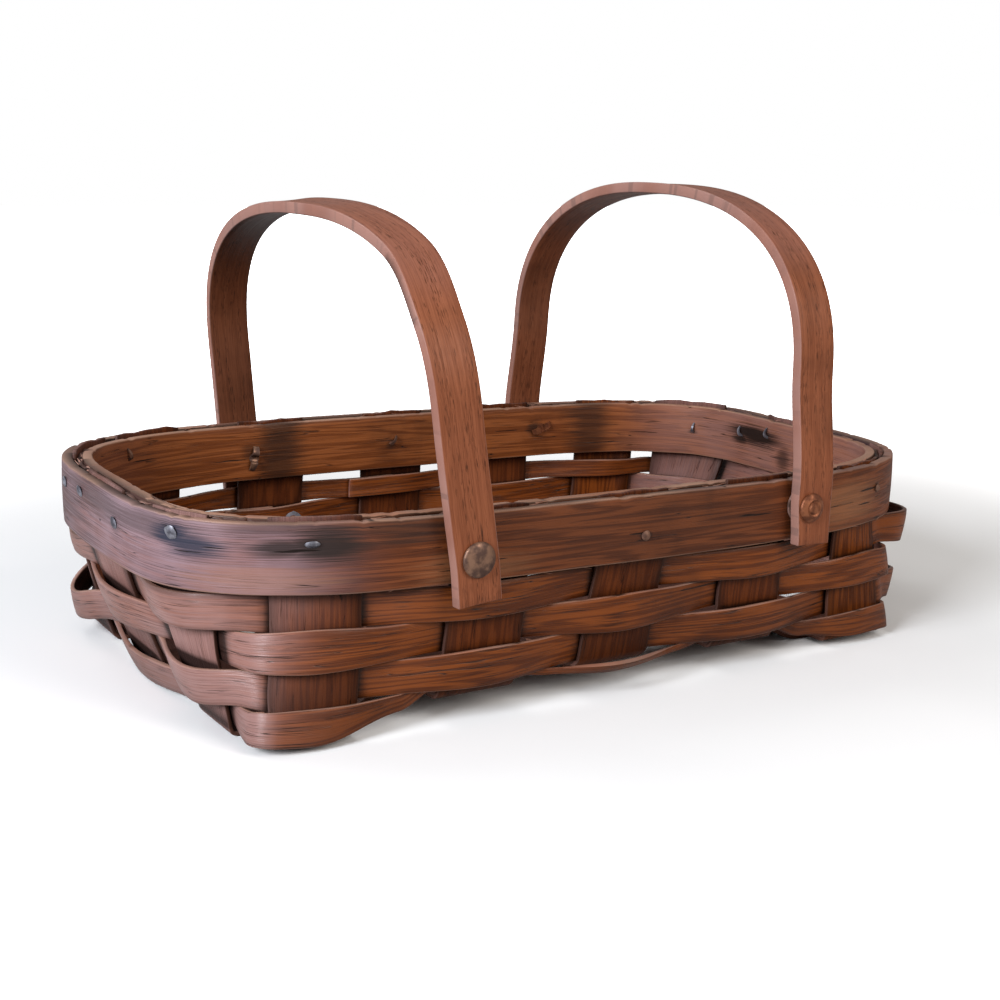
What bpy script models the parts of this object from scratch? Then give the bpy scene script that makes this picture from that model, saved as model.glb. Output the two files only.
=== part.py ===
"""Mushroom foraging basket: a rectangular splint basket with two swing handles.

Frame: metres, +Z up, origin under the middle of the basket on the surface it stands on,
+X along the length. The near side is -Y. Eight flat floor splints (stakes) cross in a
plain weave and turn up as sixteen uprights, four rows of weaver run round them, and a
double hoop with a filler splint is nailed round the top. Each handle is a bent strip that
turns on two split rivets.
"""
import math

import bmesh
import bpy
import numpy as np
from mathutils import Matrix, Vector

MM = 0.001

# Overall basket
rim_length = 401.5 * MM
rim_width = 233.8 * MM
basket_height = 88.4 * MM
rim_fall_share = 0.011
rim_lean_length = 62.5 * MM
rim_lean_width = 16.8 * MM
floor_length = rim_length - rim_lean_length
floor_width = rim_width - rim_lean_width
floor_shift = -4.0 * MM
floor_corner_radius = 7.0 * MM
rim_corner_power = 3.9
flare_power = 1.2

# Clearances
lay_gap = 0.30 * MM
hoop_gap = 0.35 * MM
weave_gap = 0.45 * MM
bore_gap = 0.30 * MM

# Rim hoops
hoop_height = 28.6 * MM
outer_hoop_thick = 4.8 * MM
inner_hoop_thick = 4.6 * MM
filler_thick = 2.0 * MM
filler_height = 15.0 * MM
hoop_round = 0.8 * MM
hoop_lap = 62.0 * MM
lap_tip_share = 0.2
filler_break = 3.0 * MM
outer_lap_side_share = 0.43
inner_lap_side_share = 0.782
filler_break_side_share = 0.72

# Stakes: centres and widths as shares of the floor's length or width
stake_thick = 1.8 * MM
cross_width_share = 0.109145
cross_centre_shares = [-0.429204, -0.215339, 0.0, 0.20944, 0.415929]
long_width_shares = [0.138249, 0.202765, 0.202765]
long_left_shares = [-0.313364, 0.0, 0.368664]
long_right_shares = [-0.368664, 0.0, 0.368664]
cross_stake_width = cross_width_share * floor_length
cross_stake_centres = [floor_shift + share * floor_length for share in cross_centre_shares]
long_stake_widths = [share * floor_width for share in long_width_shares]
long_left_centres = [share * floor_width for share in long_left_shares]
long_right_centres = [share * floor_width for share in long_right_shares]
stake_bend = 3.2 * MM
stake_rise = 0.7 * MM
plateau_margin = 1.0 * MM
floor_arch = 10.0 * MM
bend_steps = 4
cross_columns = [4, 2, 2, 2, 4]
long_columns = [4, 2, 4]

# Weavers, row 1 at the top
row_count = 4
weaver_thick = 2.0 * MM
row_gap = 0.4 * MM
weave_foot = 2.2 * MM
rim_room = 1.1 * MM
bottom_row_height = 13.4 * MM
side_bulge = 1.4 * MM
row_spread = 1.0 * MM
row_spread_inside = 0.3 * MM
bottom_row_spread = 0.9 * MM
bottom_row_lift = 2.1 * MM
arch_over_share = 0.95
top_edge_share = 0.55
edge_share = 0.6
crossing_share = 0.25
# Where a row stands out loosely: (row, upright): (how far out, how far it hangs)
loose_loops = {
    (0, 5): (8.5 * MM, 3.0 * MM), (0, 7): (7.5 * MM, 2.0 * MM),
    (1, 6): (3.0 * MM, 0.0), (1, 14): (2.0 * MM, 0.0),
    (2, 5): (6.5 * MM, 2.5 * MM), (2, 7): (6.0 * MM, 2.0 * MM),
    (2, 13): (6.5 * MM, 2.5 * MM), (2, 15): (7.5 * MM, 3.0 * MM),
    (3, 2): (4.5 * MM, 0.0), (3, 10): (3.5 * MM, 0.0),
    (3, 6): (7.0 * MM, 0.0), (3, 14): (7.5 * MM, 0.0),
}
weaver_lap = 54.0 * MM
corner_ease = 0.7 * MM
weaver_lap_uprights = [10, 11, 12, 9]

# Handles: the upright at the pivot and how far aside of it in half widths, the pivot's place under
# the rim, the rise of the arch over it, and the lean it was left at
handle_width = 20.6 * MM
handle_thick = 5.2 * MM
handle_tail = 19.0 * MM
handle_round = 0.8 * MM
arch_power = 2.45
handles = {
    "left": {"upright": 1, "aside_share": -0.71245, "drop": 17.0 * MM, "rise": 135.5 * MM,
             "leg": 55.0 * MM, "draw_in": 0.0, "lean": math.radians(-5.0), "head_radius": 7.5 * MM},
    "right": {"upright": 3, "aside_share": 1.235363, "drop": 12.4 * MM, "rise": 141.0 * MM,
              "leg": 60.0 * MM, "draw_in": 5.0 * MM, "lean": math.radians(2.1), "head_radius": 6.8 * MM},
}

# Rivets and washers
rivet_shank_radius = 2.5 * MM
rivet_head_height = 2.8 * MM
rivet_rim = 0.7 * MM
dome_angles = [math.radians(angle) for angle in (0, 26, 52, 74)]
prong_length = 9.0 * MM
prong_width = 3.8 * MM
prong_thick = 1.5 * MM
prong_ease = 0.35 * MM
washer_radius = 8.2 * MM
washer_thick = 1.2 * MM

# Clinch nails: the upright each is nearest, how far aside of it in half widths, the share of the
# hoop's height, and the turn of the clinch
nail_head_radius = 3.4 * MM
nail_crown_radius = 2.1 * MM
nail_head_height = 1.3 * MM
nail_shank = 1.8 * MM
nail_clinch = 6.0 * MM
nail_clinch_thick = 1.2 * MM
nail_clinch_width = 1.45 * MM
nail_uprights = [2, 4, 6, 6, 7, 10, 12, 13, 14, 14, 15, 0]
nail_aside_shares = [0.1748, 0.7465, 0.6369, 1.6168, -0.1828, 0.2331, 0.9743, 1.6526, -0.7839, 1.2249,
                     0.1565, -0.2751]
nail_height_shares = [0.38, 0.58, 0.66, 0.58, 0.48, 0.47, 0.66, 0.72, 0.75, 0.60, 0.77, 0.72]
nail_turns = [math.radians(turn) for turn in (60, 105, 84, 72, 98, 130, 80, 92, 96, 84, 90, 112)]

# Fineness of the mesh
loop_samples = 1440
hoop_sag = 0.14 * MM
hoop_step_least = 6.0 * MM
hoop_step_most = 24.0 * MM
wall_height_shares = [1.0, 0.84, 0.6, 0.37, 0.16, 0.0]
arch_steps = 9
round_sides = 12
nail_sides = 10
corner_steps = 12
lap_steps = 5
probe_share = 0.0004
cut_overrun = 3.0 * MM

rim_low = basket_height - hoop_height
outer_hoop_offset = stake_thick / 2 + hoop_gap + outer_hoop_thick / 2
rim_face_offset = outer_hoop_offset + outer_hoop_thick / 2
filler_offset = -(stake_thick / 2 + hoop_gap + filler_thick / 2)
inner_hoop_offset = filler_offset - filler_thick / 2 - hoop_gap - inner_hoop_thick / 2
rim_bore_offset = inner_hoop_offset - inner_hoop_thick / 2


class Loop:
    """A closed outline in plan, read by the share of its length from the near side's middle."""

    def __init__(self, points):
        closed = np.array(list(points) + [points[0]])
        lengths = np.linalg.norm(np.diff(closed, axis=0), axis=1)
        self.length = float(lengths.sum())
        self.shares = np.concatenate([[0.0], np.cumsum(lengths)]) / self.length
        self.xs, self.ys = closed[:, 0], closed[:, 1]

    def at(self, share):
        share = share % 1.0
        return Vector((np.interp(share, self.shares, self.xs), np.interp(share, self.shares, self.ys), 0))


def signed_power(value, power):
    return math.copysign(abs(value) ** power, value)


def superellipse(half_length, half_width, power):
    points = []
    for i in range(loop_samples):
        angle = 2 * math.pi * i / loop_samples - math.pi / 2
        points.append((half_length * signed_power(math.cos(angle), 2 / power),
                       half_width * signed_power(math.sin(angle), 2 / power)))
    return points


def rounded_box(half_length, half_width, radius, centre_x):
    points = [(centre_x, -half_width)]
    for quarter, (side_x, side_y) in enumerate(((1, -1), (1, 1), (-1, 1), (-1, -1))):
        for i in range(corner_steps + 1):
            angle = math.pi / 2 * (quarter - 1 + i / corner_steps)
            points.append((centre_x + side_x * (half_length - radius) + radius * math.cos(angle),
                           side_y * (half_width - radius) + radius * math.sin(angle)))
    return points


# The middle of the stakes' thickness, at the rim and on the floor
RIM = Loop(superellipse(rim_length / 2 - rim_face_offset, rim_width / 2 - rim_face_offset, rim_corner_power))
FLOOR = Loop(rounded_box(floor_length / 2, floor_width / 2, floor_corner_radius, floor_shift))


def flare(height):
    """0 on the floor, 1 from the hoops up."""
    return 1 - (1 - min(1.0, max(0.0, height / rim_low))) ** flare_power


def rim_fall(x):
    """The rim lies a little lower towards +X."""
    return -rim_fall_share * x


def girth(height):
    return FLOOR.length + (RIM.length - FLOOR.length) * flare(height)


def wall_point(share, height):
    point = FLOOR.at(share).lerp(RIM.at(share), flare(height))
    point.z = height + rim_fall(point.x) * min(1.0, height / rim_low)
    return point


def wall_normal(share, height):
    step = probe_share * basket_height
    along = wall_point(share + probe_share, height) - wall_point(share - probe_share, height)
    up = wall_point(share, height + step) - wall_point(share, height - step)
    return along.cross(up).normalized()


def on_wall(share, height, offset):
    return wall_point(share, height) + wall_normal(share, height) * offset


def smooth(share):
    share = min(1.0, max(0.0, share))
    return share * share * (3 - 2 * share)


def between(values, share):
    """Reads a list as evenly spaced stations along 0 to 1."""
    return values[min(len(values) - 1, max(0, round(share * (len(values) - 1))))]


def principled(name, colour, roughness, metallic=0.0):
    material = bpy.data.materials.new(name)
    material.use_nodes = True
    shader = material.node_tree.nodes["Principled BSDF"]
    shader.inputs["Base Color"].default_value = (*colour, 1)
    shader.inputs["Roughness"].default_value = roughness
    shader.inputs["Metallic"].default_value = metallic
    material.diffuse_color = (*colour, 1)
    return material


def collection(name):
    made = bpy.data.collections.new(name)
    bpy.context.scene.collection.children.link(made)
    return made


def new_object(name, mesh, group, look):
    made = bpy.data.objects.new(name, mesh)
    group.objects.link(made)
    if look is not None and not mesh.materials:
        mesh.materials.append(principled(name, *look))
    return made


def grid_mesh(name, columns, rows, place):
    """An open grid whose corners (u, v) from 0 to 1 go where place says."""
    bm = bmesh.new()
    bmesh.ops.create_grid(bm, x_segments=columns, y_segments=rows, size=0.5)
    for vert in bm.verts:
        vert.co = place(vert.co.x + 0.5, vert.co.y + 0.5)
    mesh = bpy.data.meshes.new(name)
    bm.to_mesh(mesh)
    bm.free()
    return mesh


def solidify(target, thickness, group_name=""):
    wall = target.modifiers.new("Thickness", "SOLIDIFY")
    wall.thickness = thickness
    wall.offset = 0
    wall.use_even_offset = True
    wall.vertex_group = group_name
    return wall


def soften(target, width):
    edge = target.modifiers.new("Eased edges", "BEVEL")
    edge.width = width
    edge.segments = 1
    edge.limit_method = "ANGLE"
    edge.angle_limit = math.radians(50)
    return edge


def cut(target, cutter, operation="DIFFERENCE"):
    boolean = target.modifiers.new(cutter.name, "BOOLEAN")
    boolean.operation = operation
    boolean.solver = "EXACT"
    boolean.object = cutter


def as_cutter(made):
    made.hide_render = True
    made.display_type = "WIRE"
    return made


def turned(name, profile, group, look):
    """A profile of (radius, height) points turned about Z, given from top to bottom."""
    mesh = bpy.data.meshes.new(name)
    count = len(profile)
    mesh.from_pydata([(r, 0, z) for r, z in profile], [(i, i + 1) for i in range(count - 1)], [])
    made = new_object(name, mesh, group, look)
    screw = made.modifiers.new("Turned", "SCREW")
    screw.axis = "Z"
    screw.steps = screw.render_steps = round_sides
    screw.use_merge_vertices = True
    screw.merge_threshold = hoop_sag / 10
    screw.use_smooth_shade = False
    return made


def bar(bm, centre, size):
    """A box added to a mesh."""
    place = Matrix.Translation(centre) @ Matrix.Diagonal((*size, 1))
    bmesh.ops.create_cube(bm, size=1, matrix=place)


def evaluated_mesh(made, name):
    graph = bpy.context.evaluated_depsgraph_get()
    graph.update()
    return bpy.data.meshes.new_from_object(made.evaluated_get(graph), depsgraph=graph)


# Where the uprights stand, as shares of the way round
def near_share(x):
    return (x - floor_shift) / FLOOR.length


def end_share(y):
    quarter = 0.25
    return quarter + y / FLOOR.length


def long_centre(long_index, x):
    """Where a long stake's middle lies across the floor at x, as it may run a little askew."""
    left, right = long_left_centres[long_index], long_right_centres[long_index]
    return left + (right - left) * (0.5 + (x - floor_shift) / floor_length)


cross_shares = [near_share(x) for x in cross_stake_centres]
long_right_places = [end_share(y) for y in long_right_centres]
long_left_places = [1 - end_share(y) for y in long_left_centres]


def upright_list():
    """Each upright in order round the basket, from the left one of the near side."""
    half_cross = cross_stake_width / 2
    near = [(share, half_cross) for share in cross_shares]
    right = [(share, width / 2) for share, width in zip(long_right_places, long_stake_widths)]
    far = [(0.5 - share, half_cross) for share in reversed(cross_shares)]
    left = [(share, width / 2) for share, width in zip(long_left_places, long_stake_widths)]
    return near + right + far + left[::-1]


uprights = upright_list()


def beside_upright(upright, aside_share):
    """Share of the way round the rim of a place so many half widths aside of an upright."""
    share, half = uprights[upright]
    return share + aside_share * half / RIM.length


nail_places = [(beside_upright(upright, aside), height) for upright, aside, height
               in zip(nail_uprights, nail_aside_shares, nail_height_shares)]


# Stakes
def is_arched(cross_index):
    """The floor rises between the two end splints, which it stands on."""
    return 0 < cross_index < len(cross_stake_centres) - 1


def crossing_level(cross_index, is_high):
    """Height of a floor splint's middle where it crosses another."""
    level = stake_thick / 2 + (floor_arch if is_arched(cross_index) else 0)
    return level + (stake_thick + lay_gap if is_high else 0)


def weave_level(place, centres, halves, levels):
    """Height of a floor splint's middle as it passes over and under the others."""
    reaches = [half + plateau_margin for half in halves]
    if place <= centres[0] + reaches[0]:
        return levels[0]
    for i in range(len(centres) - 1):
        start, end = centres[i] + reaches[i], centres[i + 1] - reaches[i + 1]
        if place <= end:
            return levels[i] + (levels[i + 1] - levels[i]) * smooth((place - start) / (end - start))
        if place <= centres[i + 1] + reaches[i + 1]:
            return levels[i + 1]
    return levels[-1]


def floor_stations(centres, halves):
    """Places along a floor splint where its mesh has a line of points."""
    reaches = [half + plateau_margin for half in halves]
    places = []
    for i, centre in enumerate(centres):
        if i:
            start, end = centres[i - 1] + reaches[i - 1], centre - reaches[i]
            places += [start + (end - start) / 3, end - (end - start) / 3]
        places += [centre - reaches[i], centre + reaches[i]]
    return places


def stake(name, shares, width, crossings, halves, levels, axis, columns, group, look):
    """A flat splint up one wall, along the floor and up the other wall.

    shares are its places on the two walls, and axis is the direction that it runs in.
    """
    top = basket_height + stake_rise
    places = floor_stations(crossings, halves)
    level = [weave_level(place, crossings, halves, levels) for place in places]
    ends = (level[0], level[-1])

    def wall_heights(side):
        foot = ends[side] + stake_bend
        return [top] + [foot + (rim_low - foot) * height_share for height_share in wall_height_shares]

    stations = [("wall", 0, height) for height in wall_heights(0)]
    bends = [k / bend_steps for k in range(1, bend_steps + 1)]
    stations += [("bend", 0, share) for share in bends]
    stations += [("floor", place, z) for place, z in zip(places, level)]
    stations += [("bend", 1, share) for share in reversed(bends)]
    stations += [("wall", 1, height) for height in reversed(wall_heights(1))]

    def place(u, v):
        kind, where, amount = between(stations, u)
        aside = (v - 0.5) * width

        def share_at(side, height):
            return shares[side] + (aside if side == 0 else -aside) / girth(height)

        corners = [wall_point(share_at(side, 0), 0) for side in (0, 1)]
        if kind == "wall":
            return wall_point(share_at(where, amount), amount)
        if kind == "floor":
            span = corners[1][axis] - corners[0][axis]
            point = corners[0].lerp(corners[1], (where - corners[0][axis]) / span)
            point.z = amount
            return point
        z = ends[where]
        wall = wall_point(share_at(where, z + stake_bend), z + stake_bend)
        corner = corners[where] + Vector((0, 0, z))
        inward = (corners[1 - where] - corners[where]).normalized()
        floor = corner + inward * stake_bend
        return (wall * (1 - amount) ** 2 + corner * (2 * amount * (1 - amount)) + floor * amount ** 2)

    made = new_object(name, grid_mesh(name, len(stations) - 1, columns, place), group, look)
    solidify(made, stake_thick)
    return made


def make_stakes(group, look):
    made = []
    long_count = len(long_stake_widths)
    halves = [width / 2 for width in long_stake_widths]
    for i, share in enumerate(cross_shares):
        levels = [crossing_level(i, (i + j) % 2 == 0) for j in range(long_count)]
        crossings = [long_centre(j, cross_stake_centres[i]) for j in range(long_count)]
        made.append(stake(f"cross_stake_{i + 1}", (share, 0.5 - share), cross_stake_width,
                          crossings, halves, levels, 1, cross_columns[i], group, look))
    halves = [cross_stake_width / 2] * len(cross_stake_centres)
    for j, width in enumerate(long_stake_widths):
        levels = [crossing_level(i, (i + j) % 2 == 1) for i in range(len(cross_stake_centres))]
        made.append(stake(f"long_stake_{j + 1}", (long_left_places[j], long_right_places[j]), width,
                          cross_stake_centres, halves, levels, 0, long_columns[j], group, look))
    return made


# Weavers
def is_over(row, upright):
    return (row + upright) % 2 == 1


def is_by_corner(upright):
    """True for the uprights on both sides of each corner."""
    return upright in (0, 4, 5, 7, 8, 12, 13, 15)


def over_arch(upright):
    """True for the uprights whose foot the floor's arch lifts."""
    return upright in (1, 2, 3, 9, 10, 11)


def row_zone(row):
    """Lowest and highest place of a row in the wall, before any spread or sag."""
    foot = weave_foot + bottom_row_height
    pitch = (rim_low - rim_room - foot) / (row_count - 1)
    if row == row_count - 1:
        return weave_foot, foot
    low = foot + pitch * (row_count - 2 - row)
    return low, low + pitch


def stand_off(upright):
    """From the stakes' middle to the weaver's middle at an upright's edge."""
    ease = corner_ease if is_by_corner(upright) else 0
    return stake_thick / 2 + weave_gap + weaver_thick / 2 + ease


def lift(row, upright):
    """How far the bottom row rises at an upright, with the arched floor or on top of it inside."""
    if row < row_count - 1:
        return 0.0
    rise = floor_arch if over_arch(upright) else 0.0
    return rise * arch_over_share if is_over(row, upright) else rise + bottom_row_lift


def spread(row, upright):
    """How much a row is wider over an upright than where it crosses the next rows."""
    if not is_over(row, upright):
        return row_spread_inside
    return row_spread if row < row_count - 1 else bottom_row_spread


def weaver_station(row, upright, part, share):
    """Offset, loose bulge, upper and lower edge of a row over an upright or in the gap after it."""
    edge = stand_off(upright)
    sign = 1 if is_over(row, upright) else -1
    low, high = row_zone(row)
    low, high = low + row_gap / 2, high - row_gap / 2
    rise, more = lift(row, upright), spread(row, upright)
    if part == "gap":
        after = (upright + 1) % len(uprights)
        offset = sign * (edge - (edge + stand_off(after)) * smooth(share))
        rise += (lift(row, after) - rise) * smooth(share)
        more = (more if share < 0.5 else spread(row, after)) * crossing_share * abs(2 * share - 1)
        return offset, 0.0, high + (more if row else 0), low + rise - more
    belly = 1 - (2 * share - 1) ** 2
    part_open = edge_share + (1 - edge_share) * belly
    bulge, sag = loose_loops.get((row, upright), (0.0, 0.0))
    hang = sag * (crossing_share + (1 - crossing_share) * belly)
    top = more if row else 0
    upper = high + (top + rise * top_edge_share) * part_open - hang
    lower = low + rise * (part_open if sign > 0 else 1) - more * part_open - hang
    return sign * (edge + side_bulge * belly), bulge * belly, upper, lower


def weaver(row, group, look):
    """One row, from behind its lap all the way round and on past its own start."""
    around = girth(sum(row_zone(row)) / 2)
    count = len(uprights)
    first = weaver_lap_uprights[row]
    stations = []
    for turn in range(count + 1):
        upright = (first + turn) % count
        share, half = uprights[upright]
        following = uprights[(upright + 1) % count]
        share += (first + turn) // count
        next_share = following[0] + (first + turn + 1) // count
        half_share = half / around
        steps = 4 if is_by_corner(upright) or (row, upright) in loose_loops else 2
        for k in range(steps // 2 if turn == 0 else 0, steps + 1):
            stations.append((share + (2 * k / steps - 1) * half_share, upright, "stake", k / steps))
        gap_start, gap_end = share + half_share, next_share - following[1] / around
        if turn < count:
            for k in (0.25, 0.5, 0.75):
                stations.append((gap_start + (gap_end - gap_start) * k, upright, "gap", k))
    lap_end = stations[0][0] + 1 + weaver_lap / around / 2
    stations = [s for s in stations if s[0] < lap_end]
    lap_from = stations[0][0] + 1 - weaver_lap / around / 2

    def place(u, v):
        share, upright, part, amount = between(stations, u)
        offset, bulge, upper, lower = weaver_station(row, upright, part, amount)
        layer = smooth((share - lap_from) / (stations[0][0] + 1 - lap_from - probe_share))
        offset -= layer * (weaver_thick + weave_gap)
        height = lower + (upper - lower) * v
        outward = wall_normal(share, height)
        outward.z = 0
        point = on_wall(share, height, offset) + outward.normalized() * bulge
        point.z = max(point.z, weaver_thick / 2)
        return point

    name = f"weaver_row_{row + 1}"
    made = new_object(name, grid_mesh(name, len(stations) - 1, 1, place), group, look)
    solidify(made, weaver_thick)
    return made


# Rim hoops
def hoop_shares(start, length_share):
    """Shares along a hoop, closer together where it curves."""
    shares = [start]
    end = start + length_share
    while shares[-1] < end:
        here = shares[-1]
        reach = hoop_step_least / RIM.length
        before, middle, after = (RIM.at(here + k * reach) for k in (-0.25, 0.75, 1.75))
        bend = (after - middle).angle(middle - before) / (reach * RIM.length)
        step = hoop_step_most if bend == 0 else math.sqrt(8 * hoop_sag / bend)
        step = min(hoop_step_most, max(hoop_step_least, step)) / RIM.length
        shares.append(here + step)
    spare = (end - shares[-1]) / (len(shares) - 1)
    return [share + spare * i for i, share in enumerate(shares)]


def hoop(name, offset, thick, low, high, start, group, look):
    """A band round the rim whose two ends are shaved thin and lie on each other."""
    lap = hoop_lap / RIM.length
    shares = hoop_shares(start + lap, 1 - lap)
    shares = [start + lap * i / lap_steps for i in range(lap_steps)] + shares
    shares += [start + 1 + lap * i / lap_steps for i in range(1, lap_steps + 1)]
    room_share = (thick - hoop_gap) / thick

    def first_share(along):
        return min(room_share - lap_tip_share, max(lap_tip_share, along / lap * room_share))

    def solid_share(share):
        if share < start + lap + probe_share:
            return first_share(share - start)
        if share > start + 1 - probe_share:
            return room_share - first_share(share - start - 1)
        return 1.0

    def place(u, v):
        share = between(shares, u)
        left = (1 - solid_share(share)) * thick / 2
        if share > start + 1 - probe_share:
            shift = left
        else:
            shift = -left
        return on_wall(share, low + (high - low) * v, offset + shift)

    made = new_object(name, grid_mesh(name, len(shares) - 1, 1, place), group, look)
    weights = made.vertex_groups.new(name="Thickness")
    columns = len(shares)
    for vert in made.data.vertices:
        weights.add([vert.index], solid_share(shares[vert.index % columns]), "REPLACE")
    solidify(made, thick, weights.name)
    return made


def filler(group, look):
    shares = hoop_shares(filler_break_side_share, 1 - filler_break / RIM.length)
    low, high = basket_height - filler_height, basket_height

    def place(u, v):
        return on_wall(between(shares, u), low + (high - low) * v, filler_offset)

    made = new_object("rim_filler", grid_mesh("rim_filler", len(shares) - 1, 1, place), group, look)
    solidify(made, filler_thick)
    return made


# Handles, rivets and washers
def rim_face(x, offset):
    """How far the rim stands out in Y at x, on the face at the given offset."""
    shares = np.linspace(-0.25, 0.25, loop_samples // 2)
    points = [on_wall(share, basket_height, offset) for share in shares]
    return -float(np.interp(x, [p.x for p in points], [p.y for p in points]))


def handle_facts(spec):
    """Places across the basket of what lies on one handle's rivets, from the rim outwards."""
    x = RIM.at(beside_upright(spec["upright"], spec["aside_share"])).x
    face = max(rim_face(x - washer_radius, rim_face_offset), rim_face(x + washer_radius, rim_face_offset))
    washer = face + lay_gap
    leg = washer + washer_thick + lay_gap
    head = leg + handle_thick + lay_gap
    inside = rim_face(x, rim_bore_offset) - lay_gap
    pivot = Vector((x, 0, basket_height + rim_fall(x) - spec["drop"]))
    return {"washer": washer, "leg": leg, "head": head, "inside": inside, "pivot": pivot}


def arch_path(spec, half_span):
    """Middle line of a handle from its near tail over the top to its far tail."""
    top = half_span - spec["draw_in"]
    straight = washer_radius + washer_thick
    leg = [(half_span, -handle_tail), (half_span, straight)]
    leg += [(half_span + (top - half_span) * k / 2, straight + (spec["leg"] - straight) * k / 2) for k in (1, 2)]
    rise = spec["rise"] - spec["leg"] - handle_thick / 2
    arch = []
    for i in range(1, arch_steps + 1):
        angle = math.pi / 2 * i / arch_steps
        arch.append((top * math.cos(angle) ** (2 / arch_power) if i < arch_steps else 0.0,
                     spec["leg"] + rise * math.sin(angle) ** (2 / arch_power)))
    half = leg + arch
    return [(-y, z) for y, z in half] + [(y, z) for y, z in reversed(half[:-1])]


def handle(side, facts, group, look):
    spec = handles[side]
    path = arch_path(spec, facts["leg"] + handle_thick / 2)

    def place(u, v):
        y, z = between(path, u)
        return Vector(((0.5 - v) * handle_width, y, z))

    name = f"handle_{side}"
    made = new_object(name, grid_mesh(name, len(path) - 1, 1, place), group, look)
    made.location = facts["pivot"]
    made.rotation_euler = (0, spec["lean"], 0)
    solidify(made, handle_thick)
    soften(made, handle_round)
    return made


def facing(x, y, z):
    """Stands a piece that is built along +Z so that +Z points away from the basket in Y."""
    outward = Matrix.Rotation(math.pi / 2 if y < 0 else -math.pi / 2, 4, "X")
    return Matrix.Translation((x, y, z)) @ outward


def rivet(name, spec, facts, y_side, group, cutters, look):
    """A domed head and shank, with the split end's two prongs bent flat inside the rim."""
    radius = spec["head_radius"]
    crown = rivet_head_height - rivet_rim
    dome = [(radius * math.sin(angle), rivet_rim + crown * math.cos(angle)) for angle in dome_angles]
    tail = -(facts["head"] - facts["inside"])
    profile = dome + [(radius, rivet_rim), (radius, 0), (rivet_shank_radius, 0),
                      (rivet_shank_radius, tail - prong_thick / 2), (0, tail - prong_thick / 2)]
    made = turned(name, profile, group, look)
    made.matrix_world = facing(facts["pivot"].x, y_side * facts["head"], facts["pivot"].z)
    bm = bmesh.new()
    bar(bm, Vector((0, 0, tail - prong_thick / 2)), (prong_width, 2 * prong_length, prong_thick))
    mesh = bpy.data.meshes.new(name + "_prongs")
    bm.to_mesh(mesh)
    bm.free()
    prongs = as_cutter(new_object(name + "_prongs", mesh, cutters, None))
    soften(prongs, prong_ease)
    prongs.matrix_world = made.matrix_world
    cut(made, prongs, "UNION")
    return made


def washer(name, facts, y_side, group, look):
    bore = rivet_shank_radius + bore_gap
    profile = [(bore, washer_thick), (washer_radius, washer_thick), (washer_radius, 0), (bore, 0),
               (bore, washer_thick)]
    made = turned(name, profile, group, look)
    made.matrix_world = facing(facts["pivot"].x, y_side * facts["washer"], facts["pivot"].z)
    return made


def rivet_bore(name, facts, length, y, group):
    """A round cutter along Y through a handle's two legs, or through the rim on one side."""
    bm = bmesh.new()
    radius = rivet_shank_radius + bore_gap
    bmesh.ops.create_cone(bm, cap_ends=True, segments=round_sides, radius1=radius, radius2=radius, depth=length,
                          matrix=Matrix.Rotation(math.pi / 2, 4, "X"))
    mesh = bpy.data.meshes.new(name)
    bm.to_mesh(mesh)
    bm.free()
    made = as_cutter(new_object(name, mesh, group, None))
    made.location = (facts["pivot"].x, y, facts["pivot"].z)
    return made


# Nails
def nail_frame(share, height_share):
    """On the rim's outer face, +Z outwards and +Y up."""
    height = rim_low + hoop_height * height_share
    outward = wall_normal(share, basket_height)
    up = Vector((0, 0, 1))
    along = up.cross(outward).normalized()
    turn = Matrix((along, up, outward)).transposed().to_4x4()
    return Matrix.Translation(on_wall(share, height, rim_face_offset)) @ turn


def nail_mesh(clinch_turn, cutters):
    """One nail: flat domed head, square shank and the tip bent over inside the rim."""
    depth = rim_face_offset - rim_bore_offset
    bm = bmesh.new()
    bmesh.ops.create_cone(bm, cap_ends=True, segments=nail_sides, radius1=nail_head_radius,
                          radius2=nail_crown_radius, depth=nail_head_height,
                          matrix=Matrix.Translation((0, 0, lay_gap + nail_head_height / 2)))
    mesh = bpy.data.meshes.new("nail_head")
    bm.to_mesh(mesh)
    bm.free()
    head = new_object("nail_head", mesh, cutters, None)
    bm = bmesh.new()
    length = depth + 2 * lay_gap + nail_clinch_thick + nail_head_height / 2
    top = lay_gap + nail_head_height / 2
    bar(bm, Vector((0, 0, top - length / 2)), (nail_shank, nail_shank, length))
    mesh = bpy.data.meshes.new("nail_shank")
    bm.to_mesh(mesh)
    bm.free()
    shank = as_cutter(new_object("nail_shank", mesh, cutters, None))
    bm = bmesh.new()
    bar(bm, Vector((nail_clinch / 2 - nail_shank / 2, 0, -depth - lay_gap - nail_clinch_thick / 2)),
        (nail_clinch, nail_clinch_width, nail_clinch_thick))
    bmesh.ops.rotate(bm, verts=bm.verts, matrix=Matrix.Rotation(clinch_turn, 3, "Z"))
    mesh = bpy.data.meshes.new("nail_clinch")
    bm.to_mesh(mesh)
    bm.free()
    clinch = as_cutter(new_object("nail_clinch", mesh, cutters, None))
    cut(head, shank, "UNION")
    cut(head, clinch, "UNION")
    joined = evaluated_mesh(head, "nail")
    for helper in (head, shank, clinch):
        bpy.data.objects.remove(helper)
    return joined


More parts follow.
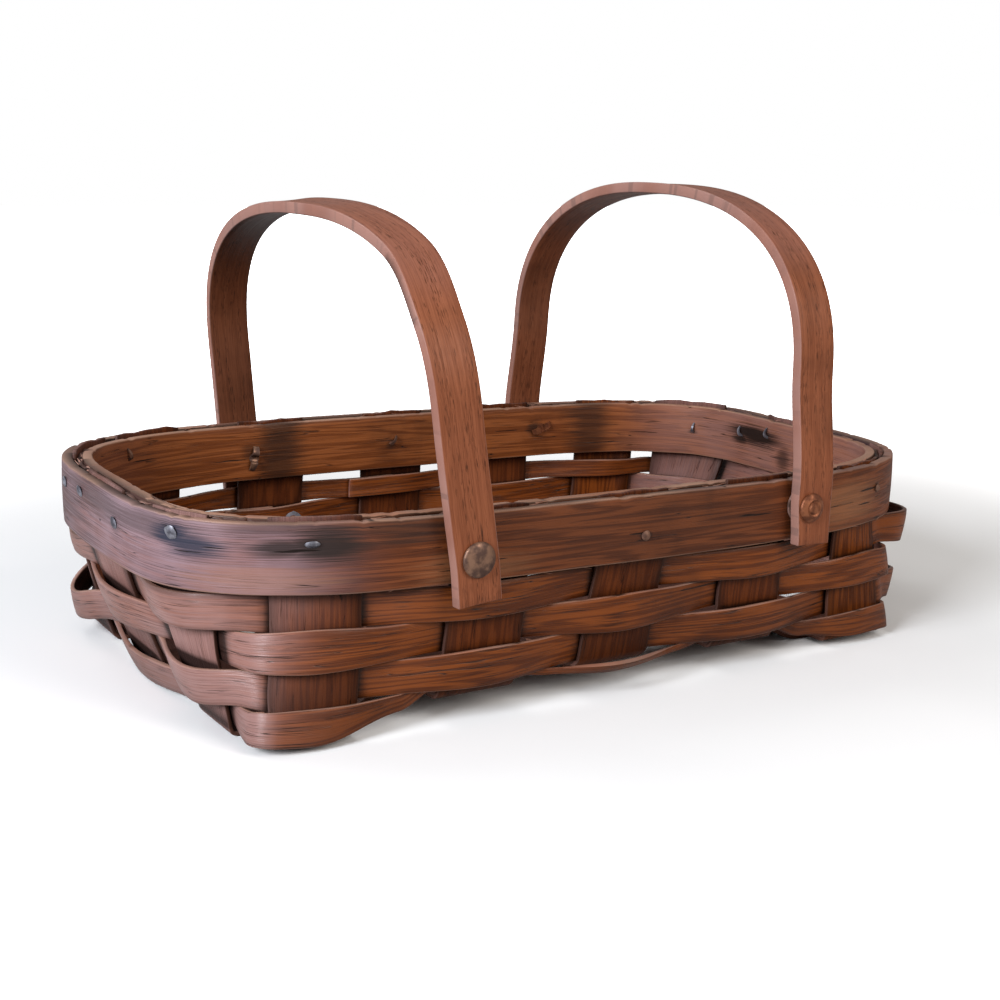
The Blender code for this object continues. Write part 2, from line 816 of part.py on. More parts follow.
def nail_bores(cutters):
    """One mesh of square holes, a little wider than the shanks, for every nail."""
    bm = bmesh.new()
    depth = rim_face_offset - rim_bore_offset
    wide = nail_shank + 2 * bore_gap
    for share, height_share in nail_places:
        box = Matrix.Translation((0, 0, -depth / 2)) @ Matrix.Diagonal((wide, wide, depth + 2 * cut_overrun, 1))
        bmesh.ops.create_cube(bm, size=1, matrix=nail_frame(share, height_share) @ box)
    mesh = bpy.data.meshes.new("nail_bores")
    bm.to_mesh(mesh)
    bm.free()
    return as_cutter(new_object("nail_bores", mesh, cutters, None))


# Colours from the photograph's wood and metal, linear
OAK = ((0.125, 0.045, 0.018), 0.62)
OAK_DARK = ((0.075, 0.027, 0.011), 0.66)
OAK_STAKE = ((0.100, 0.040, 0.020), 0.64)
HANDLE_WOOD = ((0.205, 0.082, 0.042), 0.55)
BRONZE = ((0.085, 0.050, 0.035), 0.45, 0.9)
COPPER = ((0.260, 0.105, 0.050), 0.42, 0.9)
IRON = ((0.060, 0.045, 0.040), 0.60, 0.8)


def main():
    for old in list(bpy.data.objects):
        bpy.data.objects.remove(old)
    group = collection("foraging_basket")
    cutters = collection("cutters")
    bores = nail_bores(cutters)

    stakes = make_stakes(group, OAK_STAKE)
    for row in range(row_count):
        weaver(row, group, OAK)
    layers = [
        hoop("outer_rim", outer_hoop_offset, outer_hoop_thick, rim_low, basket_height,
             outer_lap_side_share, group, OAK),
        hoop("inner_rim", inner_hoop_offset, inner_hoop_thick, rim_low, basket_height,
             inner_lap_side_share, group, OAK_DARK),
        filler(group, OAK_STAKE),
    ]
    for layer in layers[:2]:
        soften(layer, hoop_round)

    for side, spec in handles.items():
        facts = handle_facts(spec)
        arch = handle(side, facts, group, HANDLE_WOOD)
        through = 2 * (facts["head"] + cut_overrun)
        cut(arch, rivet_bore(f"{side}_handle_bore", facts, through, 0, cutters))
        metal = BRONZE if side == "left" else COPPER
        for where, y_side in (("near", -1), ("far", 1)):
            middle = y_side * (facts["washer"] + facts["inside"]) / 2
            through = facts["washer"] - facts["inside"] + 2 * cut_overrun
            bore = rivet_bore(f"{side}_{where}_rim_bore", facts, through, middle, cutters)
            for layer in layers + stakes:
                cut_if_near(layer, bore, facts["pivot"].x)
            rivet(f"rivet_{side}_{where}", spec, facts, y_side, group, cutters, metal)
            washer(f"washer_{side}_{where}", facts, y_side, group, BRONZE)

    for target in layers + stakes:
        cut(target, bores)
    iron = principled("nail_iron", *IRON)
    for i, (share, height_share) in enumerate(nail_places):
        mesh = nail_mesh(nail_turns[i], cutters)
        mesh.materials.clear()
        mesh.materials.append(iron)
        made = new_object(f"nail_{i + 1:02d}", mesh, group, None)
        made.matrix_world = nail_frame(share, height_share)


def cut_if_near(target, bore, x):
    """Bores a piece only where the piece crosses the rivet's line."""
    xs = [vert.co.x for vert in target.data.vertices]
    if min(xs) < x < max(xs):
        cut(target, bore)


main()
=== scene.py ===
"""Looks of a splint foraging basket: old split oak, bent handles, bronze, copper and iron."""
import math
import random

import bmesh
import bpy
from bpy.props import FloatProperty, FloatVectorProperty, IntProperty, PointerProperty
from bpy.types import Operator, Panel, PropertyGroup
from mathutils import Matrix, Vector, noise
from mathutils.geometry import interpolate_bezier


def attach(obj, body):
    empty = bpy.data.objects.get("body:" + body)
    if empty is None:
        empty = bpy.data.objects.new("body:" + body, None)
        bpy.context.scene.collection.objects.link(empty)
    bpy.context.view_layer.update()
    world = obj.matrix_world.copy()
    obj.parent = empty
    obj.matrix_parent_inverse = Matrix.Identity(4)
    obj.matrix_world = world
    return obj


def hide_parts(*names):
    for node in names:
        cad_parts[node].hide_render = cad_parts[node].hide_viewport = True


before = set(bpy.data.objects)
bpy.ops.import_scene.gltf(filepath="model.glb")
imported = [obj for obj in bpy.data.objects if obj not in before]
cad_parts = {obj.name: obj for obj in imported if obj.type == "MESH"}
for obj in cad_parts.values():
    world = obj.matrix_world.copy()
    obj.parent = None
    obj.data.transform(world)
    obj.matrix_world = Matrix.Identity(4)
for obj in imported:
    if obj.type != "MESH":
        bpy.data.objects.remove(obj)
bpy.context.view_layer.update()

bl_info = {
    "name": "Splint foraging basket",
    "version": (1, 0, 0),
    "blender": (4, 5, 0),
    "location": "View3D > Sidebar > Basket",
    "description": "Dresses a foraging basket's frame in split oak, bent handles and worn metal",
    "category": "Object",
}

MM = 0.001

# Main sizes, the same as the frame's own
RIM_LENGTH, RIM_WIDTH, RIM_POWER = 401.5 * MM, 233.8 * MM, 3.9
BASKET_HEIGHT, RIM_FALL = 88.4 * MM, 0.011
FLOOR_LENGTH, FLOOR_WIDTH, FLOOR_SHIFT, FLOOR_CORNER = 339.0 * MM, 217.0 * MM, -4.0 * MM, 7.0 * MM
FLARE_POWER = 1.2
HOOP_HEIGHT, OUTER_THICK, INNER_THICK = 28.6 * MM, 4.8 * MM, 4.6 * MM
FILLER_THICK, FILLER_HEIGHT, HOOP_GAP = 2.0 * MM, 15.0 * MM, 0.35 * MM
STAKE_THICK, STAKE_BEND, FLOOR_ARCH, LAY_GAP = 1.8 * MM, 3.2 * MM, 10.0 * MM, 0.3 * MM
CROSS_WIDTH, CROSS_CENTRES = 37.0 * MM, [x * MM for x in (-149.5, -77.0, -4.0, 67.0, 137.0)]
LONG_WIDTHS = [30.0 * MM, 44.0 * MM, 44.0 * MM]
LONG_LEFT, LONG_RIGHT = [-68.0 * MM, 0.0, 80.0 * MM], [-80.0 * MM, 0.0, 80.0 * MM]
WEAVER_WIDTH, WEAVER_THICK, WEAVER_LAP, WEAVE_GAP = 16.0 * MM, 2.0 * MM, 54.0 * MM, 0.45 * MM
HANDLE_WIDTH, HANDLE_THICK = 20.6 * MM, 5.2 * MM
WASHER_THICK, WASHER_RADIUS, WASHER_BORE, RIVET_SHANK = 1.2 * MM, 8.2 * MM, 2.8 * MM, 2.5 * MM
RIM_LOW = BASKET_HEIGHT - HOOP_HEIGHT
OUTER_OFFSET = STAKE_THICK / 2 + HOOP_GAP + OUTER_THICK / 2
RIM_FACE = OUTER_OFFSET + OUTER_THICK / 2
FILLER_OFFSET = -(STAKE_THICK / 2 + HOOP_GAP + FILLER_THICK / 2)
INNER_OFFSET = FILLER_OFFSET - FILLER_THICK / 2 - HOOP_GAP - INNER_THICK / 2
INNER_FACE = INNER_OFFSET - INNER_THICK / 2
# Share of the way round where each hoop's lap starts, the lap's length, and the seeds of the hoops' grain
OUTER_START, INNER_START, HOOP_LAP = 0.43, 0.782, 62.0 * MM
OUTER_SEED, INNER_SEED = 5, 6
# Share of the way round where the filler is broken, and the gap there
FILLER_START, FILLER_BREAK = 0.72, 3.0 * MM
# How finely the strips are divided along their length
ROW_COLUMNS, HOOP_COLUMNS, FILLER_COLUMNS = 460, 760, 420
WALL_STEPS, BEND_STEPS, FLOOR_STEPS = 44, 8, 56


# Colours and shader nodes
def linear(colour):
    """An sRGB hex colour as linear red, green and blue."""
    parts = [int(colour[i:i + 2], 16) / 255 for i in (1, 3, 5)]
    return tuple(c / 12.92 if c <= 0.04045 else ((c + 0.055) / 1.055) ** 2.4 for c in parts)


def add_node(tree, kind, links=None, **settings):
    """Adds a shader node, sets its values and links its inputs."""
    made = tree.nodes.new(kind)
    for name, value in settings.items():
        setattr(made, name, value)
    for key, value in (links or {}).items():
        if isinstance(value, bpy.types.NodeSocket):
            tree.links.new(value, made.inputs[key])
        else:
            made.inputs[key].default_value = value
    return made


def shade(name):
    """An empty material with a Principled shader, and its tree."""
    material = bpy.data.materials.new(name)
    material.use_nodes = True
    tree = material.node_tree
    return material, tree, tree.nodes["Principled BSDF"]


def rgba(colour):
    return (*colour, 1.0)


def blended(tree, amount, first, second, blend="MIX"):
    mix = add_node(tree, "ShaderNodeMix", {0: amount, 6: first, 7: second}, data_type="RGBA", blend_type=blend)
    return mix.outputs[2]


def math_node(tree, operation, *values):
    return add_node(tree, "ShaderNodeMath", dict(enumerate(values)), operation=operation).outputs[0]


def ranged(tree, value, low, high, to_low=0.0, to_high=1.0, kind="SMOOTHSTEP"):
    links = {"Value": value, "From Min": low, "From Max": high, "To Min": to_low, "To Max": to_high}
    return add_node(tree, "ShaderNodeMapRange", links, interpolation_type=kind).outputs[0]


def stretched_noise(tree, vector, along_mm, across_mm, detail=3.0, distortion=0.0):
    """Noise whose grains are so many millimetres long and wide."""
    scale = (1000 / along_mm, 1000 / across_mm, 1.0)
    placed = add_node(tree, "ShaderNodeMapping", {"Vector": vector, "Scale": scale})
    links = {"Vector": placed.outputs[0], "Scale": 1.0, "Detail": detail, "Distortion": distortion}
    return add_node(tree, "ShaderNodeTexNoise", links, noise_dimensions="2D").outputs[0]


def stain_amount(tree, vector, spots, ragged, firm=0.25):
    """0 to 1 for the strongest of several oval spots, each (u, v, half length, half height, depth).

    A spot is at its strongest from firm of its reach inwards.
    """
    total = None
    for u, v, half_long, half_high, depth in spots:
        shifted = add_node(tree, "ShaderNodeVectorMath", {0: vector, 1: (u, v, 0)}, operation="SUBTRACT")
        links = {0: shifted.outputs[0], 1: (1 / half_long, 1 / half_high, 0)}
        scaled = add_node(tree, "ShaderNodeVectorMath", links, operation="MULTIPLY")
        length = add_node(tree, "ShaderNodeVectorMath", {0: scaled.outputs[0]}, operation="LENGTH")
        reach = math_node(tree, "ADD", length.outputs["Value"], ragged)
        spot = ranged(tree, reach, 1.0, firm, 0.0, depth)
        total = spot if total is None else math_node(tree, "MAXIMUM", total, spot)
    return total


# Old split oak, air-dried and handled for decades: thin open pores and drying cracks run with the
# grain, edges are rubbed pale and carry a painted highlight, the left end has weathered mauve grey,
# faces turned to the light on the left or upwards carry a painted mauve grey sheen, and iron nails have
# inked the tannin blue black. Painted shade darkens the wood where each piece marks it. Fibres and
# pores are drawn 0.3 to 0.5 mm wide, coarser than in real oak, so that they show from where the whole
# basket is seen.
def oak(name, pale, mid, dark, weathered_and_sheen, rough=0.42, stains=(), cracks=(), crack_share=0.58,
        relief=0.4, edge=0.5, edge_colour="#b08a78", pores=(20.0, 0.34, 0.6, 0.6), faded=1.0,
        bands=0.34, gloss=0.2):
    material, tree, shader = shade(name)
    grain = add_node(tree, "ShaderNodeUVMap", uv_map="Grain").outputs[0]
    across = add_node(tree, "ShaderNodeSeparateXYZ", {0: add_node(tree, "ShaderNodeUVMap", uv_map="Across").outputs[0]})
    place = add_node(tree, "ShaderNodeTexCoord").outputs["Object"]
    weathering_and_sheen = add_node(tree, "ShaderNodeAttribute", attribute_name="Weathering_and_painted_sheen").outputs["Fac"]
    painted_shade = add_node(tree, "ShaderNodeAttribute", attribute_name="Painted_shade_mask").outputs["Fac"]
    pore_long, pore_wide, pore_share, pore_depth = pores
    fibre = stretched_noise(tree, grain, 42.0, 0.5, 3.0)
    fine = stretched_noise(tree, grain, 12.0, 0.3, 1.0)
    pore = ranged(tree, stretched_noise(tree, grain, pore_long, pore_wide, 1.0), pore_share, pore_share + 0.09)
    patch = stretched_noise(tree, grain, 45.0, 3.2, 2.0)
    pore = math_node(tree, "MULTIPLY", pore, ranged(tree, patch, 0.44, 0.6, 0.1, 1.0))
    figure = stretched_noise(tree, grain, 170.0, 7.0, 2.0, 0.2)
    rings = math_node(tree, "SINE", math_node(tree, "MULTIPLY", figure, 34.0))
    rings = ranged(tree, rings, -1.0, 1.0)
    split = stretched_noise(tree, grain, 90.0, 3.0, 2.0)
    split = math_node(tree, "ABSOLUTE", math_node(tree, "SUBTRACT", split, 0.5))
    split = ranged(tree, split, 0.0, 0.016, 1.0, 0.0)
    sparse = ranged(tree, stretched_noise(tree, grain, 50.0, 8.0, 2.0), crack_share, crack_share + 0.05)
    split = math_node(tree, "MULTIPLY", split, sparse)
    blotch = add_node(tree, "ShaderNodeTexNoise", {"Vector": place, "Scale": 22.0, "Detail": 4.0}).outputs[0]

    light = math_node(tree, "MULTIPLY_ADD", rings, bands, math_node(tree, "MULTIPLY", fibre, 0.46))
    light = math_node(tree, "MULTIPLY_ADD", fine, 0.54 - bands, light)
    colour = blended(tree, ranged(tree, light, 0.22, 0.72), rgba(mid), rgba(pale))
    colour = blended(tree, ranged(tree, blotch, 0.5, 0.75, 0.0, 0.5), colour, rgba(dark))
    fade = ranged(tree, math_node(tree, "MULTIPLY_ADD", fibre, 0.5, blotch), 0.5, 0.95, 0.5 * faded, faded)
    # Mauve grey: weathering on the left end, and a painted sheen where a face turns to the light on the left or upwards
    colour = blended(tree, math_node(tree, "MULTIPLY", weathering_and_sheen, fade), colour, rgba(weathered_and_sheen))
    colour = blended(tree, math_node(tree, "MULTIPLY", pore, pore_depth), colour, rgba(dark))
    # Pale edges: partly rubbed wear, partly a painted highlight along the strip's edges
    rim = math_node(tree, "ABSOLUTE", math_node(tree, "SUBTRACT", across.outputs[0], 0.5))
    rim = ranged(tree, rim, 0.465, 0.5, 0.0, edge)
    rim = math_node(tree, "MULTIPLY", rim, ranged(tree, patch, 0.35, 0.6, 0.45, 1.0))
    colour = blended(tree, rim, colour, rgba(linear(edge_colour)))
    ragged = math_node(tree, "MULTIPLY_ADD", fibre, 0.8, math_node(tree, "MULTIPLY", patch, 0.7))
    ragged = math_node(tree, "SUBTRACT", ragged, 0.75)
    for ink, spots in stains:
        colour = blended(tree, stain_amount(tree, grain, spots, ragged), colour, rgba(linear(ink)))
    if cracks:
        aside = math_node(tree, "MULTIPLY", math_node(tree, "SUBTRACT", patch, 0.5), 2.4 * MM)
        aside = add_node(tree, "ShaderNodeCombineXYZ", {1: aside})
        wavy = add_node(tree, "ShaderNodeVectorMath", {0: grain, 1: aside.outputs[0]}, operation="ADD")
        opened = stain_amount(tree, wavy.outputs[0], cracks, math_node(tree, "MULTIPLY", fine, 0.6), 0.8)
        split = math_node(tree, "MAXIMUM", split, opened)
    colour = blended(tree, math_node(tree, "MULTIPLY", split, 0.9), colour, rgba(linear("#140804")))
    # Painted shade: near black in hollows, slots and where a part lies under or behind another
    colour = blended(tree, math_node(tree, "MULTIPLY", painted_shade, 0.9), colour, rgba(linear("#120805")))
    tree.links.new(colour, shader.inputs["Base Color"])
    shader.inputs["Specular IOR Level"].default_value = gloss

    height = math_node(tree, "MULTIPLY_ADD", fibre, 0.5, math_node(tree, "MULTIPLY", fine, 0.35))
    height = math_node(tree, "SUBTRACT", height, math_node(tree, "MULTIPLY", pore, 0.35))
    height = math_node(tree, "SUBTRACT", height, math_node(tree, "MULTIPLY", split, 1.4))
    bump = add_node(tree, "ShaderNodeBump", {"Strength": relief, "Distance": 0.5 * MM, "Height": height})
    tree.links.new(bump.outputs[0], shader.inputs["Normal"])
    tree.links.new(ranged(tree, fibre, 0.2, 0.8, rough + 0.1, rough - 0.06), shader.inputs["Roughness"])
    return material


# Cast and hammered rivet metal that has browned with handling: dull, with brighter rubbed spots.
def patina(name, dull, bright, rough, metal=0.85):
    material, tree, shader = shade(name)
    place = add_node(tree, "ShaderNodeTexCoord").outputs["Object"]
    cloud = add_node(tree, "ShaderNodeTexNoise", {"Vector": place, "Scale": 260.0, "Detail": 5.0}).outputs[0]
    pits = add_node(tree, "ShaderNodeTexNoise", {"Vector": place, "Scale": 900.0, "Detail": 3.0}).outputs[0]
    tree.links.new(blended(tree, ranged(tree, cloud, 0.38, 0.66), rgba(dull), rgba(bright)),
                   shader.inputs["Base Color"])
    tree.links.new(ranged(tree, cloud, 0.3, 0.7, rough + 0.14, rough - 0.1), shader.inputs["Roughness"])
    shader.inputs["Metallic"].default_value = metal
    bump = add_node(tree, "ShaderNodeBump", {"Strength": 0.35, "Distance": 0.2 * MM, "Height": pits})
    tree.links.new(bump.outputs[0], shader.inputs["Normal"])
    return material


# Shape of the wall
class Outline:
    """A closed outline in plan, read by the share of its length from the near side's middle."""

    def __init__(self, points):
        self.points = [Vector((x, y, 0)) for x, y in points]
        self.points.append(self.points[0])
        self.ends = [0.0]
        for a, b in zip(self.points, self.points[1:]):
            self.ends.append(self.ends[-1] + (b - a).length)
        self.length = self.ends[-1]

    def at(self, share):
        reach = (share % 1.0) * self.length
        low, high = 0, len(self.ends) - 1
        while high - low > 1:
            middle = (low + high) // 2
            if self.ends[middle] <= reach:
                low = middle
            else:
                high = middle
        span = self.ends[high] - self.ends[low]
        return self.points[low].lerp(self.points[high], (reach - self.ends[low]) / span if span else 0.0)


def signed_power(value, power):
    return math.copysign(abs(value) ** power, value)


def superellipse(half_long, half_wide, power, count=1440):
    angles = [2 * math.pi * i / count - math.pi / 2 for i in range(count)]
    return [(half_long * signed_power(math.cos(a), 2 / power), half_wide * signed_power(math.sin(a), 2 / power))
            for a in angles]


def rounded_box(half_long, half_wide, radius, centre, steps=12):
    points = [(centre, -half_wide)]
    for quarter, (x, y) in enumerate(((1, -1), (1, 1), (-1, 1), (-1, -1))):
        for i in range(steps + 1):
            angle = math.pi / 2 * (quarter - 1 + i / steps)
            points.append((centre + x * (half_long - radius) + radius * math.cos(angle),
                           y * (half_wide - radius) + radius * math.sin(angle)))
    return points


RIM = Outline(superellipse(RIM_LENGTH / 2 - RIM_FACE, RIM_WIDTH / 2 - RIM_FACE, RIM_POWER))
FLOOR = Outline(rounded_box(FLOOR_LENGTH / 2, FLOOR_WIDTH / 2, FLOOR_CORNER, FLOOR_SHIFT))


def flare(height):
    return 1 - (1 - min(1.0, max(0.0, height / RIM_LOW))) ** FLARE_POWER


def girth(height):
    return FLOOR.length + (RIM.length - FLOOR.length) * flare(height)


def rim_fall(x):
    return -RIM_FALL * x


def wall_point(share, height):
    point = FLOOR.at(share).lerp(RIM.at(share), flare(height))
    point.z = height + rim_fall(point.x) * min(1.0, height / RIM_LOW)
    return point


def wall_normal(share, height):
    along = wall_point(share + 0.0008, height) - wall_point(share - 0.0008, height)
    up = wall_point(share, height + 0.1 * MM) - wall_point(share, height - 0.1 * MM)
    return along.cross(up).normalized()


def on_wall(share, height, offset):
    return wall_point(share, height) + wall_normal(share, height) * offset


def smooth(share):
    share = min(1.0, max(0.0, share))
    return share * share * (3 - 2 * share)


def wander(place, seed, size, step=40.0 * MM):
    """A slow, seeded drift along a strip, as a hand-split edge has."""
    return noise.noise(Vector((place / step, seed * 3.7 + 0.3, seed * 1.9))) * size


# Where the uprights stand
CROSS_SHARES = [(x - FLOOR_SHIFT) / FLOOR.length for x in CROSS_CENTRES]
RIGHT_SHARES = [0.25 + y / FLOOR.length for y in LONG_RIGHT]
LEFT_SHARES = [0.75 - y / FLOOR.length for y in LONG_LEFT]
UPRIGHTS = ([(s, CROSS_WIDTH / 2) for s in CROSS_SHARES]
            + [(s, width / 2) for s, width in zip(RIGHT_SHARES, LONG_WIDTHS)]
            + [(0.5 - s, CROSS_WIDTH / 2) for s in reversed(CROSS_SHARES)]
            + [(s, width / 2) for s, width in zip(LEFT_SHARES, LONG_WIDTHS)][::-1])
UPRIGHT_COUNT = len(UPRIGHTS)
# How far an upright stands aside along the wall at its foot and at the rim
ASKEW = {0: (-1.0 * MM, -3.2 * MM), 2: (-6.0 * MM, 0.0), 3: (0.0, 1.0 * MM), 4: (1.5 * MM, 5.5 * MM)}
# Uprights beside a corner, and uprights that come from the raised floor
BY_CORNER = (0, 4, 5, 7, 8, 12, 13, 15)
OVER_ARCH = (1, 2, 3, 9, 10, 11)


def askew(upright, height):
    foot, top = ASKEW.get(upright, (0.0, 0.0))
    return foot + (top - foot) * min(1.0, max(0.0, height / RIM_LOW))


# Making pieces
def new_piece(name, bm, look):
    mesh = bpy.data.meshes.new(name)
    bm.to_mesh(mesh)
    bm.free()
    made = bpy.data.objects.new(name, mesh)
    bpy.context.scene.collection.objects.link(made)
    made.data.materials.append(look)
    return made


def settle(made):
    """Applies a piece's modifiers, so that its mesh is final."""
    graph = bpy.context.evaluated_depsgraph_get()
    graph.update()
    mesh = bpy.data.meshes.new_from_object(made.evaluated_get(graph), depsgraph=graph)
    made.modifiers.clear()
    made.data = mesh
    return made


def faces_out(point, normal):
    """Above 0 where a surface of the wall faces away from the basket."""
    return normal.x * signed_power(point.x / 0.2, 3) + normal.y * signed_power(point.y / 0.117, 3)


def age(made, painted_shade_at=None):
    """Marks how far each point turns mauve grey and how much painted shade lies on it.

    The mauve grey is weathering on the left end, and a painted sheen where a face turns to the light on the left, also
    at the right end, and where it faces up.
    """
    across = {}
    for loop, mark in zip(made.data.loops, made.data.uv_layers["Across"].data):
        across[loop.vertex_index] = mark.uv
    fade = made.data.attributes.new("Weathering_and_painted_sheen", "FLOAT", "POINT")
    painted_shade = made.data.attributes.new("Painted_shade_mask", "FLOAT", "POINT")
    for vert, faded, shade_value in zip(made.data.vertices, fade.data, painted_shade.data):
        # Painted sheen where a face turns to the light on the left or up, also at the right end; weathering on the left
        # end
        facing_left = smooth((-vert.normal.x - 0.1) / 0.7)
        end = smooth((-vert.co.x - 125 * MM) / (50 * MM))
        top = smooth((vert.normal.z - 0.5) / 0.4)
        outer = vert.co.z > RIM_LOW and faces_out(vert.co, vert.normal) > 0
        left = smooth((-vert.co.x - 110 * MM) / (60 * MM)) if outer else 0
        right = facing_left * smooth((vert.co.x - 130 * MM) / (40 * MM))
        faded.value = min(1.0, facing_left * (0.45 + 0.45 * end) + 0.2 * end + 0.35 * top + 0.3 * left + 0.2 * right)
        # Painted shade, from each piece's own rule
        if painted_shade_at:
            v, u = across[vert.index]
            shade_value.value = min(1.0, max(0.0, painted_shade_at(vert.co, vert.normal, v, u)))
    return made


def low_inside_shade(point):
    """Painted shade low down inside the basket."""
    return 0.45 * smooth((40 * MM - point.z) / (30 * MM))


def stand_in(made, body, slot, *nodes):
    """Makes a piece ride on its body in place of the frame's own nodes."""
    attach(made, body)
    if nodes:
        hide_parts(*nodes)
    return made


def strip(name, columns, rows, place, length, width, thick, ease, look, seed, weight=None, painted_shade_at=None):
    """A strip of split wood: a grid laid where place says, given its thickness, with eased edges."""
    bm = bmesh.new()
    bmesh.ops.create_grid(bm, x_segments=columns, y_segments=rows, size=0.5)
    grain = bm.loops.layers.uv.new("Grain")
    across = bm.loops.layers.uv.new("Across")
    for face in bm.faces:
        face.smooth = True
        for loop in face.loops:
            u, v = loop.vert.co.x + 0.5, loop.vert.co.y + 0.5
            loop[grain].uv = (seed * 1.7 + u * length, seed * 0.31 + v * width)
            loop[across].uv = (v, u)
    if weight:
        layer = bm.verts.layers.deform.verify()
    for vert in bm.verts:
        u, v = vert.co.x + 0.5, vert.co.y + 0.5
        if weight:
            vert[layer][0] = weight(u)
        vert.co = place(u, v)
    made = new_piece(name, bm, look)
    if weight:
        made.vertex_groups.new(name="Thickness")
    wall = made.modifiers.new("Thickness", "SOLIDIFY")
    wall.thickness = thick
    wall.offset = 0
    wall.use_even_offset = True
    wall.vertex_group = "Thickness" if weight else ""
    edge = made.modifiers.new("Eased edges", "BEVEL")
    edge.width = ease
    edge.segments = 2
    edge.limit_method = "ANGLE"
    edge.angle_limit = math.radians(50)
    return age(settle(made), painted_shade_at)


# Weavers
def is_over(row, upright):
    return (row + upright) % 2 == 1


def row_zone(row, sizes):
    foot = sizes.foot + sizes.bottom_row
    pitch = (RIM_LOW - sizes.rim_room - foot) / 3
    if row == 3:
        return sizes.foot, foot
    return foot + pitch * (2 - row), foot + pitch * (3 - row)


def stand_off(upright):
    ease = 0.7 * MM if upright in BY_CORNER else 0
    return STAKE_THICK / 2 + WEAVE_GAP + WEAVER_THICK / 2 + ease


# How far a row stands loose of an upright and how far it hangs there, in millimetres
LOOPS = {
    (0, 5): (10.5, 1.2), (0, 7): (7.5, 2.0), (1, 6): (3.0, 0.0), (1, 14): (2.0, 0.0),
    (2, 5): (10.5, 2.5), (2, 7): (6.0, 2.0), (2, 13): (5.5, 6.5), (2, 15): (2.0, 2.0),
    (3, 2): (1.5, 0.0), (3, 10): (3.5, 0.0), (3, 6): (7.0, 0.0), (3, 14): (1.2, 0.0),
    (1, 4): (1.5, 0.0), (0, 15): (1.0, 0.0),
}
# How far a row bulges in the gap after an upright, in millimetres
SLACK = {(1, 4): 4.0}
# The upright by which each row starts and its lap lies
LAP_UPRIGHTS = [10, 11, 12, 9]
# Shares of the way round between which row 1 leaves a slot under the far rim, and how far its ends fade
SLOT_START, SLOT_END, SLOT_FADE = 0.30, 0.73, 0.03


def lift(row, upright):
    if row < 3:
        return 0.0
    rise = FLOOR_ARCH if upright in OVER_ARCH else 0.0
    return rise * 0.95 if is_over(row, upright) else rise + 2.1 * MM


# How a row's edges differ where it passes an upright, in millimetres: rise of the upper edge, rise of
# the lower edge, and how far the upper edge leans out
TURNS = {
    (3, 4): (0.5, 2.6, 1.0), (3, 2): (-3.6, 0.6, 4.5), (3, 14): (-1.5, 0.8, 0.3), (2, 13): (-2.0, 0.5, 0.5),
    (2, 15): (-0.5, 0.5, 0.2), (0, 5): (1.4, 0.0, 0.0), (1, 4): (0.6, 0.6, 0.5), (0, 15): (0.0, 0.4, 0.5),
    (3, 0): (0.0, 0.0, 0.8), (1, 0): (0.8, -0.2, 0.8), (2, 1): (0.4, -0.5, 1.2), (1, 2): (0.5, -0.4, 1.0),
    (2, 3): (-0.4, -0.3, 1.2),
}


def row_knots(row, sizes):
    """Where a row passes each upright and each gap: share, offset, bulge, lean, upper, lower, flat part.

    The first two belong to the upright before the row's start, and the last ones to those by its lap.
    """
    low, high = row_zone(row, sizes)
    low, high = low + 0.2 * MM, high - 0.2 * MM
    around = girth((low + high) / 2)
    knots = []
    for number in range(LAP_UPRIGHTS[row] - 1, LAP_UPRIGHTS[row] + UPRIGHT_COUNT + 3):
        upright, following = number % UPRIGHT_COUNT, (number + 1) % UPRIGHT_COUNT
        share, half = UPRIGHTS[upright]
        share += number // UPRIGHT_COUNT + askew(upright, (low + high) / 2) / around
        after, next_half = UPRIGHTS[following]
        after += (number + 1) // UPRIGHT_COUNT + askew(following, (low + high) / 2) / around
        bulge, hang = LOOPS.get((row, upright), (0.0, 0.0))
        up, down, lean = TURNS.get((row, upright), (0.0, 0.0, 0.0))
        rise = lift(row, upright)
        if is_over(row, upright):
            spread = sizes.spread if row < 3 else 0.9 * MM
            offset = stand_off(upright) + sizes.side_bulge
            upper = high + (spread if row else 0) + rise * 0.3 + (up - hang) * MM
            lower = low + rise - spread + (down - hang) * MM
            flat = 0.0
        else:
            offset = -stand_off(upright) - sizes.side_bulge
            upper, lower, flat = high + rise * 0.55, low + rise, 0.52
        knots.append((share, offset, bulge * MM, lean * MM, upper, lower, flat))
        middle = (share + half / around + after - next_half / around) / 2
        crossing = (rise + lift(row, following)) / 2
        knots.append((middle, 0.0, SLACK.get((row, upright), 0.0) * MM, 0.0, high, low + crossing, 0.0))
    return knots, around


def row_station(knots, share):
    """Offset, loose bulge, lean, upper and lower edge of a row at a share of the way round."""
    for first, second in zip(knots, knots[1:]):
        if share <= second[0]:
            break
    part = (share - first[0]) / (second[0] - first[0])
    if first[1] == 0.0:
        first, second, part = second, first, 1 - part
    wave = math.cos(math.pi / 2 * part)
    swell = (1 + math.cos(math.pi * part)) / 2
    edge = smooth((part - first[6]) / (1 - first[6]))
    upper = first[4] + (second[4] - first[4]) * edge
    lower = first[5] + (second[5] - first[5]) * edge
    bulge = first[2] * swell ** 0.8 + second[2] * (1 - swell)
    return first[1] * wave, bulge, first[3] * swell, upper, lower


